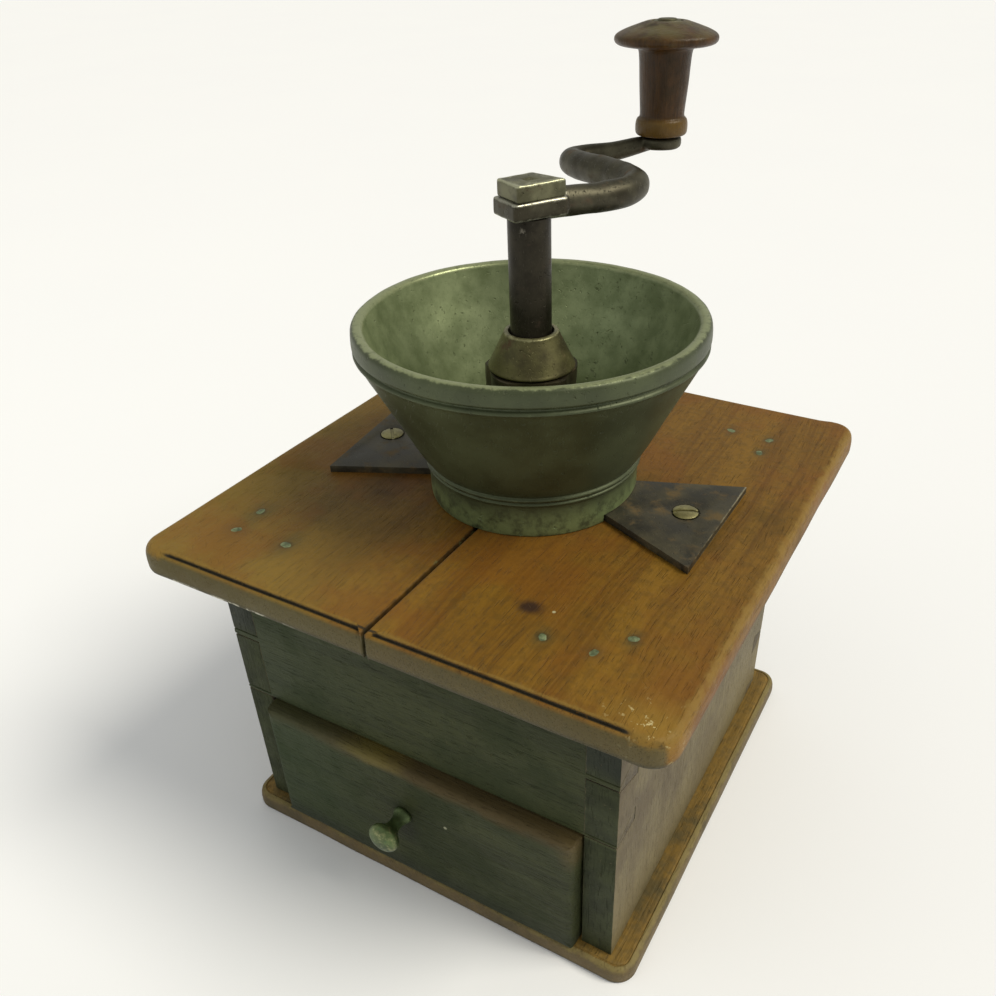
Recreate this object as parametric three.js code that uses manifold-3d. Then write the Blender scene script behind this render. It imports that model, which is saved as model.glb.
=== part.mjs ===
// Box coffee mill: dovetailed wooden case with a drawer, open cast hopper, S-shaped crank.
// Millimetres, +Z up. The origin is the centre of the base's underside, the drawer faces -Y.
import * as THREE from 'three';
import { mergeVertices } from 'three/addons/utils/BufferGeometryUtils.js';
import Module from 'manifold-3d';

const wasm = await Module();
wasm.setup();

// ---- driving dimensions ----

const clearance = 0.3; // around anything that passes through or fits into another piece
const seat = 0.05; // between faces that are glued, nailed or clamped together

const baseBoard = { width: 159.4, depth: 160.2, thickness: 6.5, corner: 7, edge: 1.8 };

const carcass = { x: -0.45, y: -2.1, width: 143.5, depth: 145.5, height: 111 };
const sideThickness = 10.6;
const railThickness = 12.5;
const backThickness = 10;
const drawerOpening = 54; // height of the opening under the front rail

const pin = { half: 0.9, slope: 0.36 }; // dovetail pins: half height at the face, flare inwards
const railPins = [0, 0.453, 1]; // shares of the rail's height
const backPins = [0, 0.25, 0.5, 0.75, 1]; // shares of the back board's height

const top = { x: 1.25, y: -0.6, width: 178, depth: 182.3, thickness: 9.4, corner: 8, edge: 2.4 };
const plankGap = 0.9; // the open joint between the two planks
const moulding = { width: 2.2, depth: 1.5 }; // step worked along the front and back edges

const nail = { head: 2.2, headHeight: 1.1, shank: 1.1, length: 28, sink: 0.2 };
const nailSpots = [ // three near each corner, measured in from the outer side face and the outer end face
  { side: -1, end: -1, inward: [[6.6, 16.4], [7.2, 4.9], [26.8, 5.8]] },
  { side: 1, end: -1, inward: [[26.5, 4.9], [11.8, 5.8], [5, 15.6]] },
  { side: 1, end: 1, inward: [[21, 6.2], [6.8, 17.8], [6.4, 7.2]] },
  { side: -1, end: 1, inward: [[24, 6.2], [7, 17.8], [7.4, 7.2]] },
];

const drawer = { slack: 0.8, proud: 5.2, inset: 8, side: 5, sideDrop: 4, back: 5, backDrop: 3, rearSlack: 5 };
const drawerEdge = { top: 2.6, end: 2.6, foot: 1 }; // rounding of the front's edges
const drawerFloor = { thickness: 3, lift: 3.5, groove: 2.5 };
const drawerLift = 0.5; // how far the drawer's lower edges clear the base
const knob = { disc: 5.6, neck: 2.2, foot: 3.4, length: 13.5, shank: 1.7, x: -3.75, height: 30.5 };
const knobWasher = { radius: 4.5, thickness: 1.2 };

const mill = { x: 3.2, y: -0.1 }; // the upright axis of everything that grinds

const plate = { thickness: 2.4, hole: 24.6, sink: 1.2 }; // sink is how deep the screw heads sit
const plateOutline = { // corners of the two flared ears, from the mill axis
  right: [[18, -5.5], [65.2, -26], [65.8, 24.6], [18, 6.5]],
  left: [[-18, 7], [-71.4, 23.6], [-65, -27.8], [-18, -6]],
};
const plateScrew = { y: 1.2, head: 4.3, headHeight: 1.9, shank: 1.9, length: 11, slot: 1 };
const plateScrews = [{ place: 'left', x: -59.8, turn: -50 }, { place: 'right', x: 53.8, turn: 26 }];

// heights here are above the table, the upper face of the top
const bowl = { height: 58.6, rim: 54.9, wall: 4.4, rings: 15, ring: 35.3, floor: 9.5 };
const bowlFoot = { radius: 34.3, wall: 3.2 };
const bowlThroat = 22.6;
const bowlFlare = [[0.16, 0.1], [0.41, 0.333], [0.65, 0.55], [0.85, 0.725]]; // shares out and up, rings to rim
const cone = { top: 41.5, depth: 35, base: 19.5, waist: 13.3, shoulder: 14, teeth: 10, toothDepth: 1.1 };
const wing = { count: 5, depth: 2.4, lowest: -3 }; // bold breaking wings above the teeth
const coneCap = { gap: 0.4, height: 11.5, top: 8.6, foot: 13 };
const conePin = { radius: 1.4, length: 22, height: 22 };

// depths here are below the table
const shell = { flange: 29, flangeHeight: 2.3, body: 23.9, mouth: 21.8, waist: 18.8, outlet: 20.8, depth: 37 };
const shellTooth = { count: 12, depth: 0.9 };
const spindle = { radius: 6.35, foot: 4, depth: 40.8, square: 8.2, stud: 3.6, studHeight: 2.4 };
const bridge = { width: 13, thickness: 6, depth: 51, end: 6 };
const adjuster = { radius: 4, head: 8, headHeight: 4.6, depth: 63.2, flutes: 8, flute: 1 };

const frameBolt = { across: 26.8, head: 3.6, headHeight: 2.4, shank: 2.3, thread: 1.8, nut: 8, nutHeight: 3.8 };
const footstep = { stem: 4, stemLength: 4.6, flange: 6.6, height: 6, lift: 2 };
const lockNut = { across: 13, height: 4.6 };

const crank = { height: 87.4, turn: 86.9, radius: 84.5 }; // height is the eye's underside above the table
const crankEye = { behind: 8.3, reach: 10.6, across: 13.4, height: 5.2, turn: -27 };
const endEye = { radius: 7.2, height: 3.9, rise: 2.4, edge: 0.6 }; // rise is its middle above the eye's middle
const crankNut = { height: 3.85, cap: 1, dimple: 1.3, dimpleDepth: 0.5 };
const nutCorners = [[-8.9, -2.5], [5.3, -8.8], [7.2, 3.4], [-3.7, 7.9]]; // forged by hand, so not quite square
const rodRoute = [ // centre line, x towards the handle, y to its left, and how far it rises
  [8, -5.4, 0], [12.6, -8.6, -0.2], [19, -12.2, -0.5], [29, -16, -0.5], [38, -14, -0.3],
  [45, -4, -0.3], [50, 6.5, -0.7], [55, 15.5, -1.2], [61, 21.6, -1.6], [67.5, 20.6, -1.4],
  [73.5, 13.5, -0.4], [78.6, 7, 1.2], [80.5, 4.6, 1.7],
];
const rodInset = 4; // the rod ends this far short of the handle's axis
const rodRadii = [ // share of the length, radius
  [0, 4.35], [0.3, 4.3], [0.53, 4.7], [0.7, 4.35], [0.86, 3.3], [0.95, 2.7], [1, 2.2],
];
const handlePin = { radius: 2.5, rivet: 3.4, rivetHeight: 0.5, washer: 4.7, washerHeight: 0.9, head: 0.5 };
const handle = { height: 34.2, foot: 9.1, neck: 7.5, throat: 8.6, cap: 17.1 };

// ---- heights that follow ----

const caseBottom = baseBoard.thickness + seat;
const caseTop = caseBottom + carcass.height;
const topBottom = caseTop + seat;
const table = topBottom + top.thickness;
const railBottom = caseBottom + drawerOpening;
const frontY = carcass.y - carcass.depth / 2;
const backY = carcass.y + carcass.depth / 2;
const innerHalf = carcass.width / 2 - sideThickness;
const plateBottom = table + seat;
const plateTop = plateBottom + plate.thickness;
const flangeBottom = plateTop + seat;
const flangeTop = flangeBottom + shell.flangeHeight;
const bowlFloor = table + bowl.floor;
const footInside = bowlFoot.radius - bowlFoot.wall;
const topHole = frameBolt.across + frameBolt.shank + clearance;
const bridgeBottom = table - bridge.depth;
const bridgeTop = bridgeBottom + bridge.thickness;
const coneTop = table + cone.top;
const eyeBottom = table + crank.height;
const eyeMiddle = eyeBottom + crankEye.height / 2;
const eyeTop = eyeBottom + crankEye.height;

// ---- finishes ----

const finishes = {
  top_wood: { color: 0x8c5a26, roughness: 0.55, metalness: 0 },
  case_wood: { color: 0x4a4a2c, roughness: 0.6, metalness: 0 },
  drawer_wood: { color: 0x3e4a30, roughness: 0.6, metalness: 0 },
  base_wood: { color: 0x7a5c34, roughness: 0.65, metalness: 0 },
  bare_wood: { color: 0xa88455, roughness: 0.8, metalness: 0 },
  handle_wood: { color: 0x5c3a20, roughness: 0.4, metalness: 0 },
  cast_bowl: { color: 0x6c7262, roughness: 0.45, metalness: 0.8 },
  forged_iron: { color: 0x4a463f, roughness: 0.5, metalness: 0.85 },
  burr_iron: { color: 0x4d4842, roughness: 0.55, metalness: 0.85 },
  brass: { color: 0x9a8a4a, roughness: 0.4, metalness: 0.9 },
  nail_iron: { color: 0x6d7358, roughness: 0.7, metalness: 0.5 },
};
const materials = Object.fromEntries(
  Object.entries(finishes).map(([name, look]) => [name, new THREE.MeshStandardMaterial({ ...look, name })]),
);

const model = new THREE.Group();
model.name = 'coffee_mill';

function add(name, geometry, finish, parent = model) {
  const piece = new THREE.Mesh(geometry, materials[finish]);
  piece.name = name;
  parent.add(piece);
  return piece;
}

// ---- shapes ----

// A geometry with shared vertices, no flat triangles, and its faces pointing out.
function welded(geometry) {
  const bare = geometry.clone();
  for (const name of Object.keys(bare.attributes)) {
    if (name !== 'position') bare.deleteAttribute(name);
  }
  const merged = mergeVertices(bare, 1e-4);
  const source = merged.index.array;
  const index = [];
  for (let i = 0; i < source.length; i += 3) {
    const [a, b, c] = [source[i], source[i + 1], source[i + 2]];
    if (a !== b && b !== c && c !== a) index.push(a, b, c);
  }
  const p = merged.attributes.position;
  const [va, vb, vc] = [new THREE.Vector3(), new THREE.Vector3(), new THREE.Vector3()];
  let volume = 0;
  for (let i = 0; i < index.length; i += 3) {
    va.fromBufferAttribute(p, index[i]);
    vb.fromBufferAttribute(p, index[i + 1]);
    vc.fromBufferAttribute(p, index[i + 2]);
    volume += va.dot(vb.cross(vc));
  }
  if (volume < 0) index.reverse();
  const out = new THREE.BufferGeometry();
  out.setAttribute('position', new THREE.BufferAttribute(new Float32Array(p.array), 3));
  out.setIndex(index);
  return out;
}

function toSolid(geometry) {
  const w = welded(geometry);
  return new wasm.Manifold(new wasm.Mesh({
    numProp: 3,
    vertProperties: w.attributes.position.array,
    triVerts: new Uint32Array(w.index.array),
  }));
}

function toGeometry(solid) {
  const { vertProperties, triVerts } = solid.getMesh();
  const geometry = new THREE.BufferGeometry();
  geometry.setAttribute('position', new THREE.BufferAttribute(new Float32Array(vertProperties), 3));
  geometry.setIndex(Array.from(triVerts));
  return welded(geometry);
}

function cut(body, ...tools) {
  return toGeometry(tools.reduce((solid, tool) => solid.subtract(toSolid(tool)), toSolid(body)));
}

function join(...bodies) {
  const [first, ...rest] = bodies.map(toSolid);
  return toGeometry(rest.reduce((solid, other) => solid.add(other), first));
}

function overlap(a, b) {
  return toGeometry(toSolid(a).intersect(toSolid(b)));
}

function block(x0, x1, y0, y1, z0, z1) {
  return new THREE.BoxGeometry(x1 - x0, y1 - y0, z1 - z0)
    .translate((x0 + x1) / 2, (y0 + y1) / 2, (z0 + z1) / 2);
}

// Closed outline of [radius, height] points turned about the vertical axis.
function turned(outline, sides = 48) {
  const points = [...outline, outline[0]].map(([r, z]) => new THREE.Vector2(Math.max(r, 0), z));
  return welded(new THREE.LatheGeometry(points, sides).rotateX(Math.PI / 2));
}

// Solid of revolution from [radius, height] points, closed to the axis at both ends.
function turnedSolid(outline, sides = 48) {
  const points = [[0, outline[0][1]], ...outline, [0, outline[outline.length - 1][1]]];
  return welded(new THREE.LatheGeometry(points.map(([r, z]) => new THREE.Vector2(r, z)), sides)
    .rotateX(Math.PI / 2));
}

function rodBetween(radius, z0, z1, sides = 20) {
  return turnedSolid([[radius, z0], [radius, z1]], sides);
}

function roundedOutline(width, depth, radius) {
  const [w, d] = [width / 2, depth / 2];
  const shape = new THREE.Shape();
  shape.moveTo(-w + radius, -d);
  shape.absarc(w - radius, -d + radius, radius, -Math.PI / 2, 0);
  shape.absarc(w - radius, d - radius, radius, 0, Math.PI / 2);
  shape.absarc(-w + radius, d - radius, radius, Math.PI / 2, Math.PI);
  shape.absarc(-w + radius, -d + radius, radius, Math.PI, 1.5 * Math.PI);
  return shape;
}

// Board with rounded corners and rounded edges, its underside at z.
function board({ width, depth, thickness, corner, edge }, z) {
  const outline = roundedOutline(width - 2 * edge, depth - 2 * edge, Math.max(corner - edge, 0.5));
  return new THREE.ExtrudeGeometry(outline, {
    depth: thickness - 2 * edge,
    bevelThickness: edge,
    bevelSize: edge,
    bevelSegments: 2,
    curveSegments: 4,
  }).translate(0, 0, z + edge);
}

function prism(points, z0, z1) {
  const shape = new THREE.Shape(points.map(([x, y]) => new THREE.Vector2(x, y)));
  return new THREE.ExtrudeGeometry(shape, { depth: z1 - z0, bevelEnabled: false }).translate(0, 0, z0);
}

// Outline of [y, z] points carried along X from x0 to x1.
function alongX(points, x0, x1) {
  return prism(points, x0, x1).rotateZ(Math.PI / 2).rotateY(Math.PI / 2);
}

function squareNut(across, height, z, hole) {
  const body = block(-across / 2, across / 2, -across / 2, across / 2, z, z + height);
  return cut(body, rodBetween(hole, z - 1, z + height + 1, 16));
}

// ---- case ----

// Dovetail pins of a board that runs along X between the sides: outer face at y0, inner face at y1.
function dovetailPins(y0, y1, shares, bottom, x0, x1, grow = 0) {
  const flare = pin.half + pin.slope * Math.abs(y1 - y0);
  const reach = Math.sign(y1 - y0) * grow;
  const [low, high] = [Math.min(y0, y1) - 2, Math.max(y0, y1) + 2];
  const limits = block(x0 - 1, x1 + 1, low, high, bottom - grow, caseTop + grow);
  const pins = shares.map((share) => {
    const z = THREE.MathUtils.lerp(bottom, caseTop, share);
    return alongX([
      [y0 - reach, z - pin.half - grow], [y1 + reach, z - flare - grow],
      [y1 + reach, z + flare + grow], [y0 - reach, z + pin.half + grow],
    ], x0, x1);
  });
  return overlap(join(...pins), limits);
}

const nailPlaces = nailSpots.flatMap(({ side, end, inward }) => inward.map(([x, y]) => [
  carcass.x + side * (carcass.width / 2 - x),
  carcass.y + end * (carcass.depth / 2 - y),
]));

function nailHoles(radius, z0, z1) {
  return nailPlaces.map(([x, y]) => rodBetween(radius, z0, z1, 8).translate(x, y, 0));
}

const nailBottom = table - nail.length;
const boardNailHoles = () => nailHoles(nail.shank + clearance, nailBottom - clearance, caseTop + 1);

function crossBoard(y0, y1, shares, bottom) {
  const span = innerHalf - seat;
  const [low, high] = [Math.min(y0, y1), Math.max(y0, y1)];
  const body = block(carcass.x - span, carcass.x + span, low, high, bottom, caseTop);
  const reach = innerHalf + sideThickness;
  const pins = dovetailPins(y0, y1, shares, bottom, carcass.x - reach, carcass.x + reach);
  return cut(join(body, pins), ...boardNailHoles());
}

function sideBoard(side) {
  const inner = carcass.x + side * innerHalf;
  const outer = inner + side * sideThickness;
  const [x0, x1] = [Math.min(inner, outer), Math.max(inner, outer)];
  const body = block(x0, x1, frontY, backY, caseBottom, caseTop);
  const sockets = [
    dovetailPins(frontY, frontY + railThickness, railPins, railBottom, x0 - 1, x1 + 1, clearance),
    dovetailPins(backY, backY - backThickness, backPins, caseBottom, x0 - 1, x1 + 1, clearance),
  ];
  return cut(body, ...sockets, ...boardNailHoles());
}

function plank(side) {
  const whole = board(top, topBottom);
  const [front, back] = [-top.depth / 2, top.depth / 2];
  const reach = top.width;
  const half = side < 0
    ? block(-reach, -plankGap / 2, front - 1, back + 1, topBottom - 1, table + 1)
    : block(plankGap / 2, reach, front - 1, back + 1, topBottom - 1, table + 1);
  const steps = [
    block(-reach, reach, front - 1, front + moulding.width, table - moulding.depth, table + 1),
    block(-reach, reach, back - moulding.width, back + 1, table - moulding.depth, table + 1),
  ];
  const placed = cut(overlap(whole, half), ...steps).translate(top.x, top.y, 0);
  const recess = nail.headHeight + nail.sink + clearance;
  return cut(
    placed,
    rodBetween(topHole, topBottom - 1, table + 1, 40).translate(mill.x, mill.y, 0),
    ...plateScrews.map(({ x }) => rodBetween(plateScrew.shank + clearance, topBottom - 1, table + 1, 10)
      .translate(mill.x + x, mill.y + plateScrew.y, 0)),
    ...nailHoles(nail.shank + clearance, topBottom - 1, table + 1),
    ...nailHoles(nail.head + clearance, table - recess, table + 1),
  );
}

add('base_board', welded(board(baseBoard, 0)), 'base_wood');
add('side_board_left', sideBoard(-1), 'case_wood');
add('side_board_right', sideBoard(1), 'case_wood');
add('front_rail', crossBoard(frontY, frontY + railThickness, railPins, railBottom), 'case_wood');
add('back_board', crossBoard(backY, backY - backThickness, backPins, caseBottom), 'case_wood');
add('top_plank_left', plank(-1), 'top_wood');
add('top_plank_right', plank(1), 'top_wood');

nailPlaces.forEach(([x, y], i) => {
  const headTop = table - nail.sink;
  const geometry = turnedSolid([
    [nail.shank * 0.45, nailBottom], [nail.shank, nailBottom + nail.length / 2],
    [nail.shank, headTop - nail.headHeight], [nail.head, headTop - nail.headHeight],
    [nail.head, headTop - 0.3], [nail.head - 0.5, headTop],
  ], 8);
  add(`top_nail_${i + 1}`, geometry, 'nail_iron').position.set(x, y, 0);
});

// ---- drawer ----

const drawerBottom = caseBottom + drawerLift;
const drawerHalf = innerHalf - drawer.slack;
const drawerFace = frontY - drawer.proud;
const insetBack = frontY + drawer.inset;
const drawerRear = backY - backThickness - drawer.rearSlack;
const floorBottom = drawerBottom + drawerFloor.lift;
const floorTop = floorBottom + drawerFloor.thickness;
const grooveGap = { low: floorBottom - clearance, high: floorTop + clearance };
const drawerTop = railBottom - drawer.sideDrop;
const knobHeight = drawerBottom + knob.height;

// Quarter round from angle a0 to a1 about a centre, as points.
function quarter(centre, radius, a0, a1, steps = 3) {
  return Array.from({ length: steps + 1 }, (_, i) => {
    const a = THREE.MathUtils.degToRad(THREE.MathUtils.lerp(a0, a1, i / steps));
    return [centre[0] + radius * Math.cos(a), centre[1] + radius * Math.sin(a)];
  });
}

function drawerFront() {
  const upper = railBottom - drawer.slack;
  const profile = [
    [drawerFace, drawerBottom + drawerEdge.foot],
    ...quarter([drawerFace + drawerEdge.top, upper - drawerEdge.top], drawerEdge.top, 180, 90),
    [insetBack, upper], [insetBack, drawerBottom], [drawerFace + drawerEdge.foot, drawerBottom],
  ];
  const body = alongX(profile, carcass.x - drawerHalf, carcass.x + drawerHalf);
  const r = drawerEdge.end;
  const plan = [
    [-drawerHalf, insetBack + 1],
    ...quarter([-drawerHalf + r, drawerFace + r], r, 180, 270),
    ...quarter([drawerHalf - r, drawerFace + r], r, 270, 360),
    [drawerHalf, insetBack + 1],
  ];
  const planSolid = prism(plan, 0, table).translate(carcass.x, 0, 0);
  const groove = block(
    carcass.x - drawerHalf - 1, carcass.x + drawerHalf + 1,
    insetBack - drawerFloor.groove - clearance, insetBack + 1, grooveGap.low, grooveGap.high,
  );
  const depth = insetBack - drawerFace;
  const knobHole = rodBetween(knob.shank + clearance, -depth, depth, 12)
    .rotateX(Math.PI / 2).translate(knob.x, (drawerFace + insetBack) / 2, knobHeight);
  return cut(overlap(body, planSolid), groove, knobHole);
}

function drawerSide(side) {
  const outer = carcass.x + side * drawerHalf;
  const inner = outer - side * drawer.side;
  const [x0, x1] = [Math.min(outer, inner), Math.max(outer, inner)];
  const body = block(x0, x1, insetBack + seat, drawerRear, drawerBottom, drawerTop);
  const g = [inner - side, inner + side * (drawerFloor.groove + clearance)];
  const groove = [Math.min(...g), Math.max(...g), insetBack - 1, drawerRear + 1, grooveGap.low, grooveGap.high];
  return cut(body, block(...groove));
}

const trayHalf = drawerHalf - drawer.side;
const floorHalf = trayHalf + drawerFloor.groove;
const moving = new THREE.Group();
model.add(moving);
add('drawer_front', drawerFront(), 'drawer_wood', moving);
add('drawer_side_left', drawerSide(-1), 'bare_wood', moving);
add('drawer_side_right', drawerSide(1), 'bare_wood', moving);
add('drawer_back', welded(block(
  carcass.x - trayHalf + seat, carcass.x + trayHalf - seat,
  drawerRear - drawer.back, drawerRear, floorTop + clearance, drawerTop - drawer.backDrop,
)), 'bare_wood', moving);
add('drawer_bottom', welded(block(
  carcass.x - floorHalf, carcass.x + floorHalf,
  insetBack - drawerFloor.groove, drawerRear, floorBottom, floorTop,
)), 'bare_wood', moving);

const washerInside = insetBack + seat;
const knobEnd = washerInside + knobWasher.thickness + seat;
const alongKnob = (share) => -drawerFace + share * knob.length;
const knobOutline = [
  [knob.shank + 0.7, -knobEnd - 0.9], [knob.shank + 0.9, -knobEnd], [knob.shank, -knobEnd],
  [knob.shank, alongKnob(0) + seat], [knob.foot, alongKnob(0) + seat], [knob.foot, alongKnob(0.08)],
  [knob.neck, alongKnob(0.25)], [knob.neck, alongKnob(0.5)], [knob.disc - 0.7, alongKnob(0.8)],
  [knob.disc, alongKnob(0.86)], [knob.disc - 0.2, alongKnob(0.94)], [knob.disc * 0.5, alongKnob(1)],
];
// Turned about Z, then laid down so that the outline's height runs towards -Y.
const layDown = (geometry) => geometry.rotateX(Math.PI / 2);
add('drawer_knob', layDown(turnedSolid(knobOutline, 16)), 'brass', moving).position.set(knob.x, 0, knobHeight);
const washerBack = -washerInside - knobWasher.thickness;
add('drawer_knob_washer', layDown(turned([
  [knob.shank + clearance, washerBack], [knobWasher.radius, washerBack],
  [knobWasher.radius, -washerInside], [knob.shank + clearance, -washerInside],
], 16)), 'nail_iron', moving).position.set(knob.x, 0, knobHeight);

// ---- mill: everything here is measured from the mill axis ----

const millGroup = new THREE.Group();
millGroup.position.set(mill.x, mill.y, 0);
model.add(millGroup);

const boltAt = [-frameBolt.across, frameBolt.across];
const boltHoles = (z0, z1, radius) => boltAt.map((y) => rodBetween(radius, z0, z1, 12).translate(0, y, 0));

function ears(z0, z1) {
  return [prism(plateOutline.right, z0, z1), prism(plateOutline.left, z0, z1)];
}

// Ear outlines moved outwards, for the notches in the bowl's foot.
function earNotches(z0, z1) {
  const widen = ([x, y]) => [x, y + Math.sign(y) * 3 * clearance];
  return [plateOutline.right, plateOutline.left].map((points) => prism(points.map(widen), z0, z1));
}

function hopperBowl() {
  const rimTop = table + bowl.height;
  const ringTop = table + bowl.rings;
  const innerRim = bowl.rim - bowl.wall;
  const flare = bowlFlare.map(([out, up]) => [
    THREE.MathUtils.lerp(bowl.ring, bowl.rim, out), THREE.MathUtils.lerp(ringTop, rimTop, up),
  ]);
  const outline = [
    // underside and foot
    [bowlThroat, flangeTop + seat], [footInside, flangeTop + seat], [footInside, table + seat],
    [bowlFoot.radius, table + seat], [bowl.ring - 0.5, ringTop - 2.5], [bowl.ring + 0.5, ringTop - 1.2],
    [bowl.ring, ringTop],
    ...flare,
    // bead, groove and plain band
    [bowl.rim - 0.8, rimTop - 7.7], [bowl.rim - 0.1, rimTop - 6.9], [bowl.rim - 1.3, rimTop - 5.9],
    [bowl.rim, rimTop - 5], [bowl.rim - 0.4, rimTop - 1.2],
    // rim, inside wall and floor
    [bowl.rim - 1.6, rimTop], [innerRim, rimTop - 0.5],
    ...flare.toReversed().map(([r, z]) => [r - bowl.wall, z + 1.2]),
    [footInside + 0.2, bowlFloor + 1.6], [footInside - 0.4, bowlFloor], [bowlThroat, bowlFloor],
  ];
  return cut(
    turned(outline, 40),
    ...earNotches(table - 1, plateTop + clearance),
    ...boltHoles(table, bowlFloor + 1, frameBolt.shank + clearance),
  );
}

function mountingPlate() {
  const disc = rodBetween(footInside - clearance, plateBottom, plateTop, 40);
  const screwHoles = plateScrews.map(({ x }) => turnedSolid([
    [plateScrew.shank + clearance, plateBottom - 1], [plateScrew.shank + clearance, plateTop - plate.sink],
    [plateScrew.head + clearance, plateTop - 0.2], [plateScrew.head + clearance, plateTop + 1],
  ], 16).translate(x, plateScrew.y, 0));
  return cut(
    join(disc, ...ears(plateBottom, plateTop)),
    rodBetween(plate.hole, plateBottom - 1, plateTop + 1, 32),
    ...screwHoles,
    ...boltHoles(plateBottom - 1, plateTop + 1, frameBolt.shank + clearance),
  );
}

function plateScrewBody(turn) {
  const headBottom = plateTop - plate.sink + seat;
  const headTop = headBottom + plateScrew.headHeight;
  const body = turnedSolid([
    [0.4, headBottom - plateScrew.length], [plateScrew.shank - 0.3, headBottom - plateScrew.length + 4],
    [plateScrew.shank, headBottom], [plateScrew.head - 0.2, headBottom + 1.1],
    [plateScrew.head - 0.2, headBottom + 1.4], [plateScrew.head * 0.6, headTop],
  ], 16);
  const half = plateScrew.slot / 2;
  const slot = block(-plateScrew.head, plateScrew.head, -half, half, headTop - 0.9, headTop + 1)
    .rotateZ(THREE.MathUtils.degToRad(turn));
  return cut(body, slot);
}

// Radius between the teeth's roots and tips: a one-sided ramp round the circle, twisted with height.
function tooth(angle, z, count, twist, depth) {
  const turn = (angle * count) / (2 * Math.PI) + z * twist;
  const ramp = turn - Math.floor(turn);
  return depth * (ramp < 0.75 ? ramp / 0.75 : (1 - ramp) / 0.25);
}

// Moves each point of a turned shape in or out by a function of its angle, height and radius.
function worked(geometry, offset) {
  const p = geometry.attributes.position;
  for (let i = 0; i < p.count; i += 1) {
    const [x, y, z] = [p.getX(i), p.getY(i), p.getZ(i)];
    const r = Math.hypot(x, y);
    if (r > 1e-6) {
      const k = (r + offset(Math.atan2(y, x), z, r)) / r;
      p.setXY(i, x * k, y * k);
    }
  }
  return geometry;
}

function burrShell() {
  const low = table - shell.depth;
  const outline = [
    [shell.outlet, low], [shell.outlet + 2, low], [shell.body, low + 4], [shell.body, flangeBottom],
    [shell.flange, flangeBottom], [shell.flange, flangeTop], [shell.mouth, flangeTop],
    [shell.mouth - 0.8, table - 3], [shell.waist + 0.5, table - 10], [shell.waist, table - 14],
    [shell.waist + 0.6, table - 20], [shell.outlet - 0.8, low + 9],
  ];
  const toothed = worked(turned(outline, 36), (angle, z, r) => {
    const cutting = r < shell.mouth && z > low + 0.1 && z < table - 7;
    return cutting ? tooth(angle, z, shellTooth.count, 0.02, shellTooth.depth) : 0;
  });
  return cut(toothed, ...boltHoles(flangeBottom - 1, flangeTop + 1, frameBolt.shank + clearance));
}

add('hopper_bowl', hopperBowl(), 'cast_bowl', millGroup);
add('mounting_plate', mountingPlate(), 'forged_iron', millGroup);
for (const { place, x, turn } of plateScrews) {
  add(`plate_screw_${place}`, plateScrewBody(turn), 'brass', millGroup).position.set(x, plateScrew.y, 0);
}
add('burr_shell', burrShell(), 'burr_iron', millGroup);

const bridgeHalf = frameBolt.across + bridge.end;
add('bridge', cut(
  block(-bridge.width / 2, bridge.width / 2, -bridgeHalf, bridgeHalf, bridgeBottom, bridgeTop),
  rodBetween(adjuster.radius + clearance, bridgeBottom - 1, bridgeTop + 1, 20),
  ...boltHoles(bridgeBottom - 1, bridgeTop + 1, frameBolt.thread + clearance),
), 'forged_iron', millGroup);

['front', 'back'].forEach((place, i) => {
  const nutTop = bridgeBottom - seat;
  const nutBottom = nutTop - frameBolt.nutHeight;
  const headBottom = bowlFloor + seat;
  const headTop = headBottom + frameBolt.headHeight;
  const body = turnedSolid([
    [frameBolt.thread, nutBottom - 1], [frameBolt.thread, bridgeTop + seat],
    [frameBolt.shank, bridgeTop + seat], [frameBolt.shank, headBottom],
    [frameBolt.head, headBottom], [frameBolt.head, headBottom + 0.8], [frameBolt.head * 0.55, headTop],
  ], 14);
  const slot = block(-frameBolt.head, frameBolt.head, -0.5, 0.5, headTop - 1, headTop + 1);
  const nut = squareNut(frameBolt.nut, frameBolt.nutHeight, nutBottom, frameBolt.thread + clearance);
  add(`frame_bolt_${place}`, cut(body, slot), 'forged_iron', millGroup).position.y = boltAt[i];
  add(`frame_nut_${place}`, nut, 'forged_iron', millGroup).position.y = boltAt[i];
});

// footstep bearing, adjusting screw and its lock nut
const cupBottom = bridgeTop + footstep.lift;
const stemBottom = cupBottom - footstep.stemLength;
const cupTop = cupBottom + footstep.height;
const spindleFoot = table - spindle.depth;
const recessBottom = spindleFoot - seat;
add('footstep_cup', turned([
  [0, stemBottom], [footstep.stem, stemBottom], [footstep.stem, cupBottom], [footstep.flange, cupBottom],
  [footstep.flange, cupTop], [spindle.foot + clearance, cupTop], [spindle.foot + clearance, recessBottom],
  [0, recessBottom],
], 20), 'forged_iron', millGroup);

const knurlBottom = table - adjuster.depth;
const knurlTop = knurlBottom + adjuster.headHeight;
const screwTip = stemBottom - seat;
const flutes = Array.from({ length: adjuster.flutes }, (_, i) => (
  rodBetween(adjuster.flute, knurlBottom - 1, knurlTop + 0.01, 6)
    .translate(adjuster.head + 0.3, 0, 0)
    .rotateZ((i / adjuster.flutes) * 2 * Math.PI)
));
add('adjusting_screw', cut(turnedSolid([
  [adjuster.head, knurlBottom], [adjuster.head, knurlTop], [adjuster.radius, knurlTop],
  [adjuster.radius, screwTip - 0.6], [adjuster.radius - 0.6, screwTip],
], 24), ...flutes), 'forged_iron', millGroup);
const lockNutBottom = bridgeBottom - seat - lockNut.height;
add('lock_nut', squareNut(
  lockNut.across, lockNut.height, lockNutBottom, adjuster.radius + clearance,
), 'forged_iron', millGroup);

// ---- spindle, cone and crank, turning together ----

const capBottom = coneTop + coneCap.gap;
const capTop = capBottom + coneCap.height;
const bore = spindle.radius + clearance;
const coneBottom = table - cone.depth;

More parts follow.
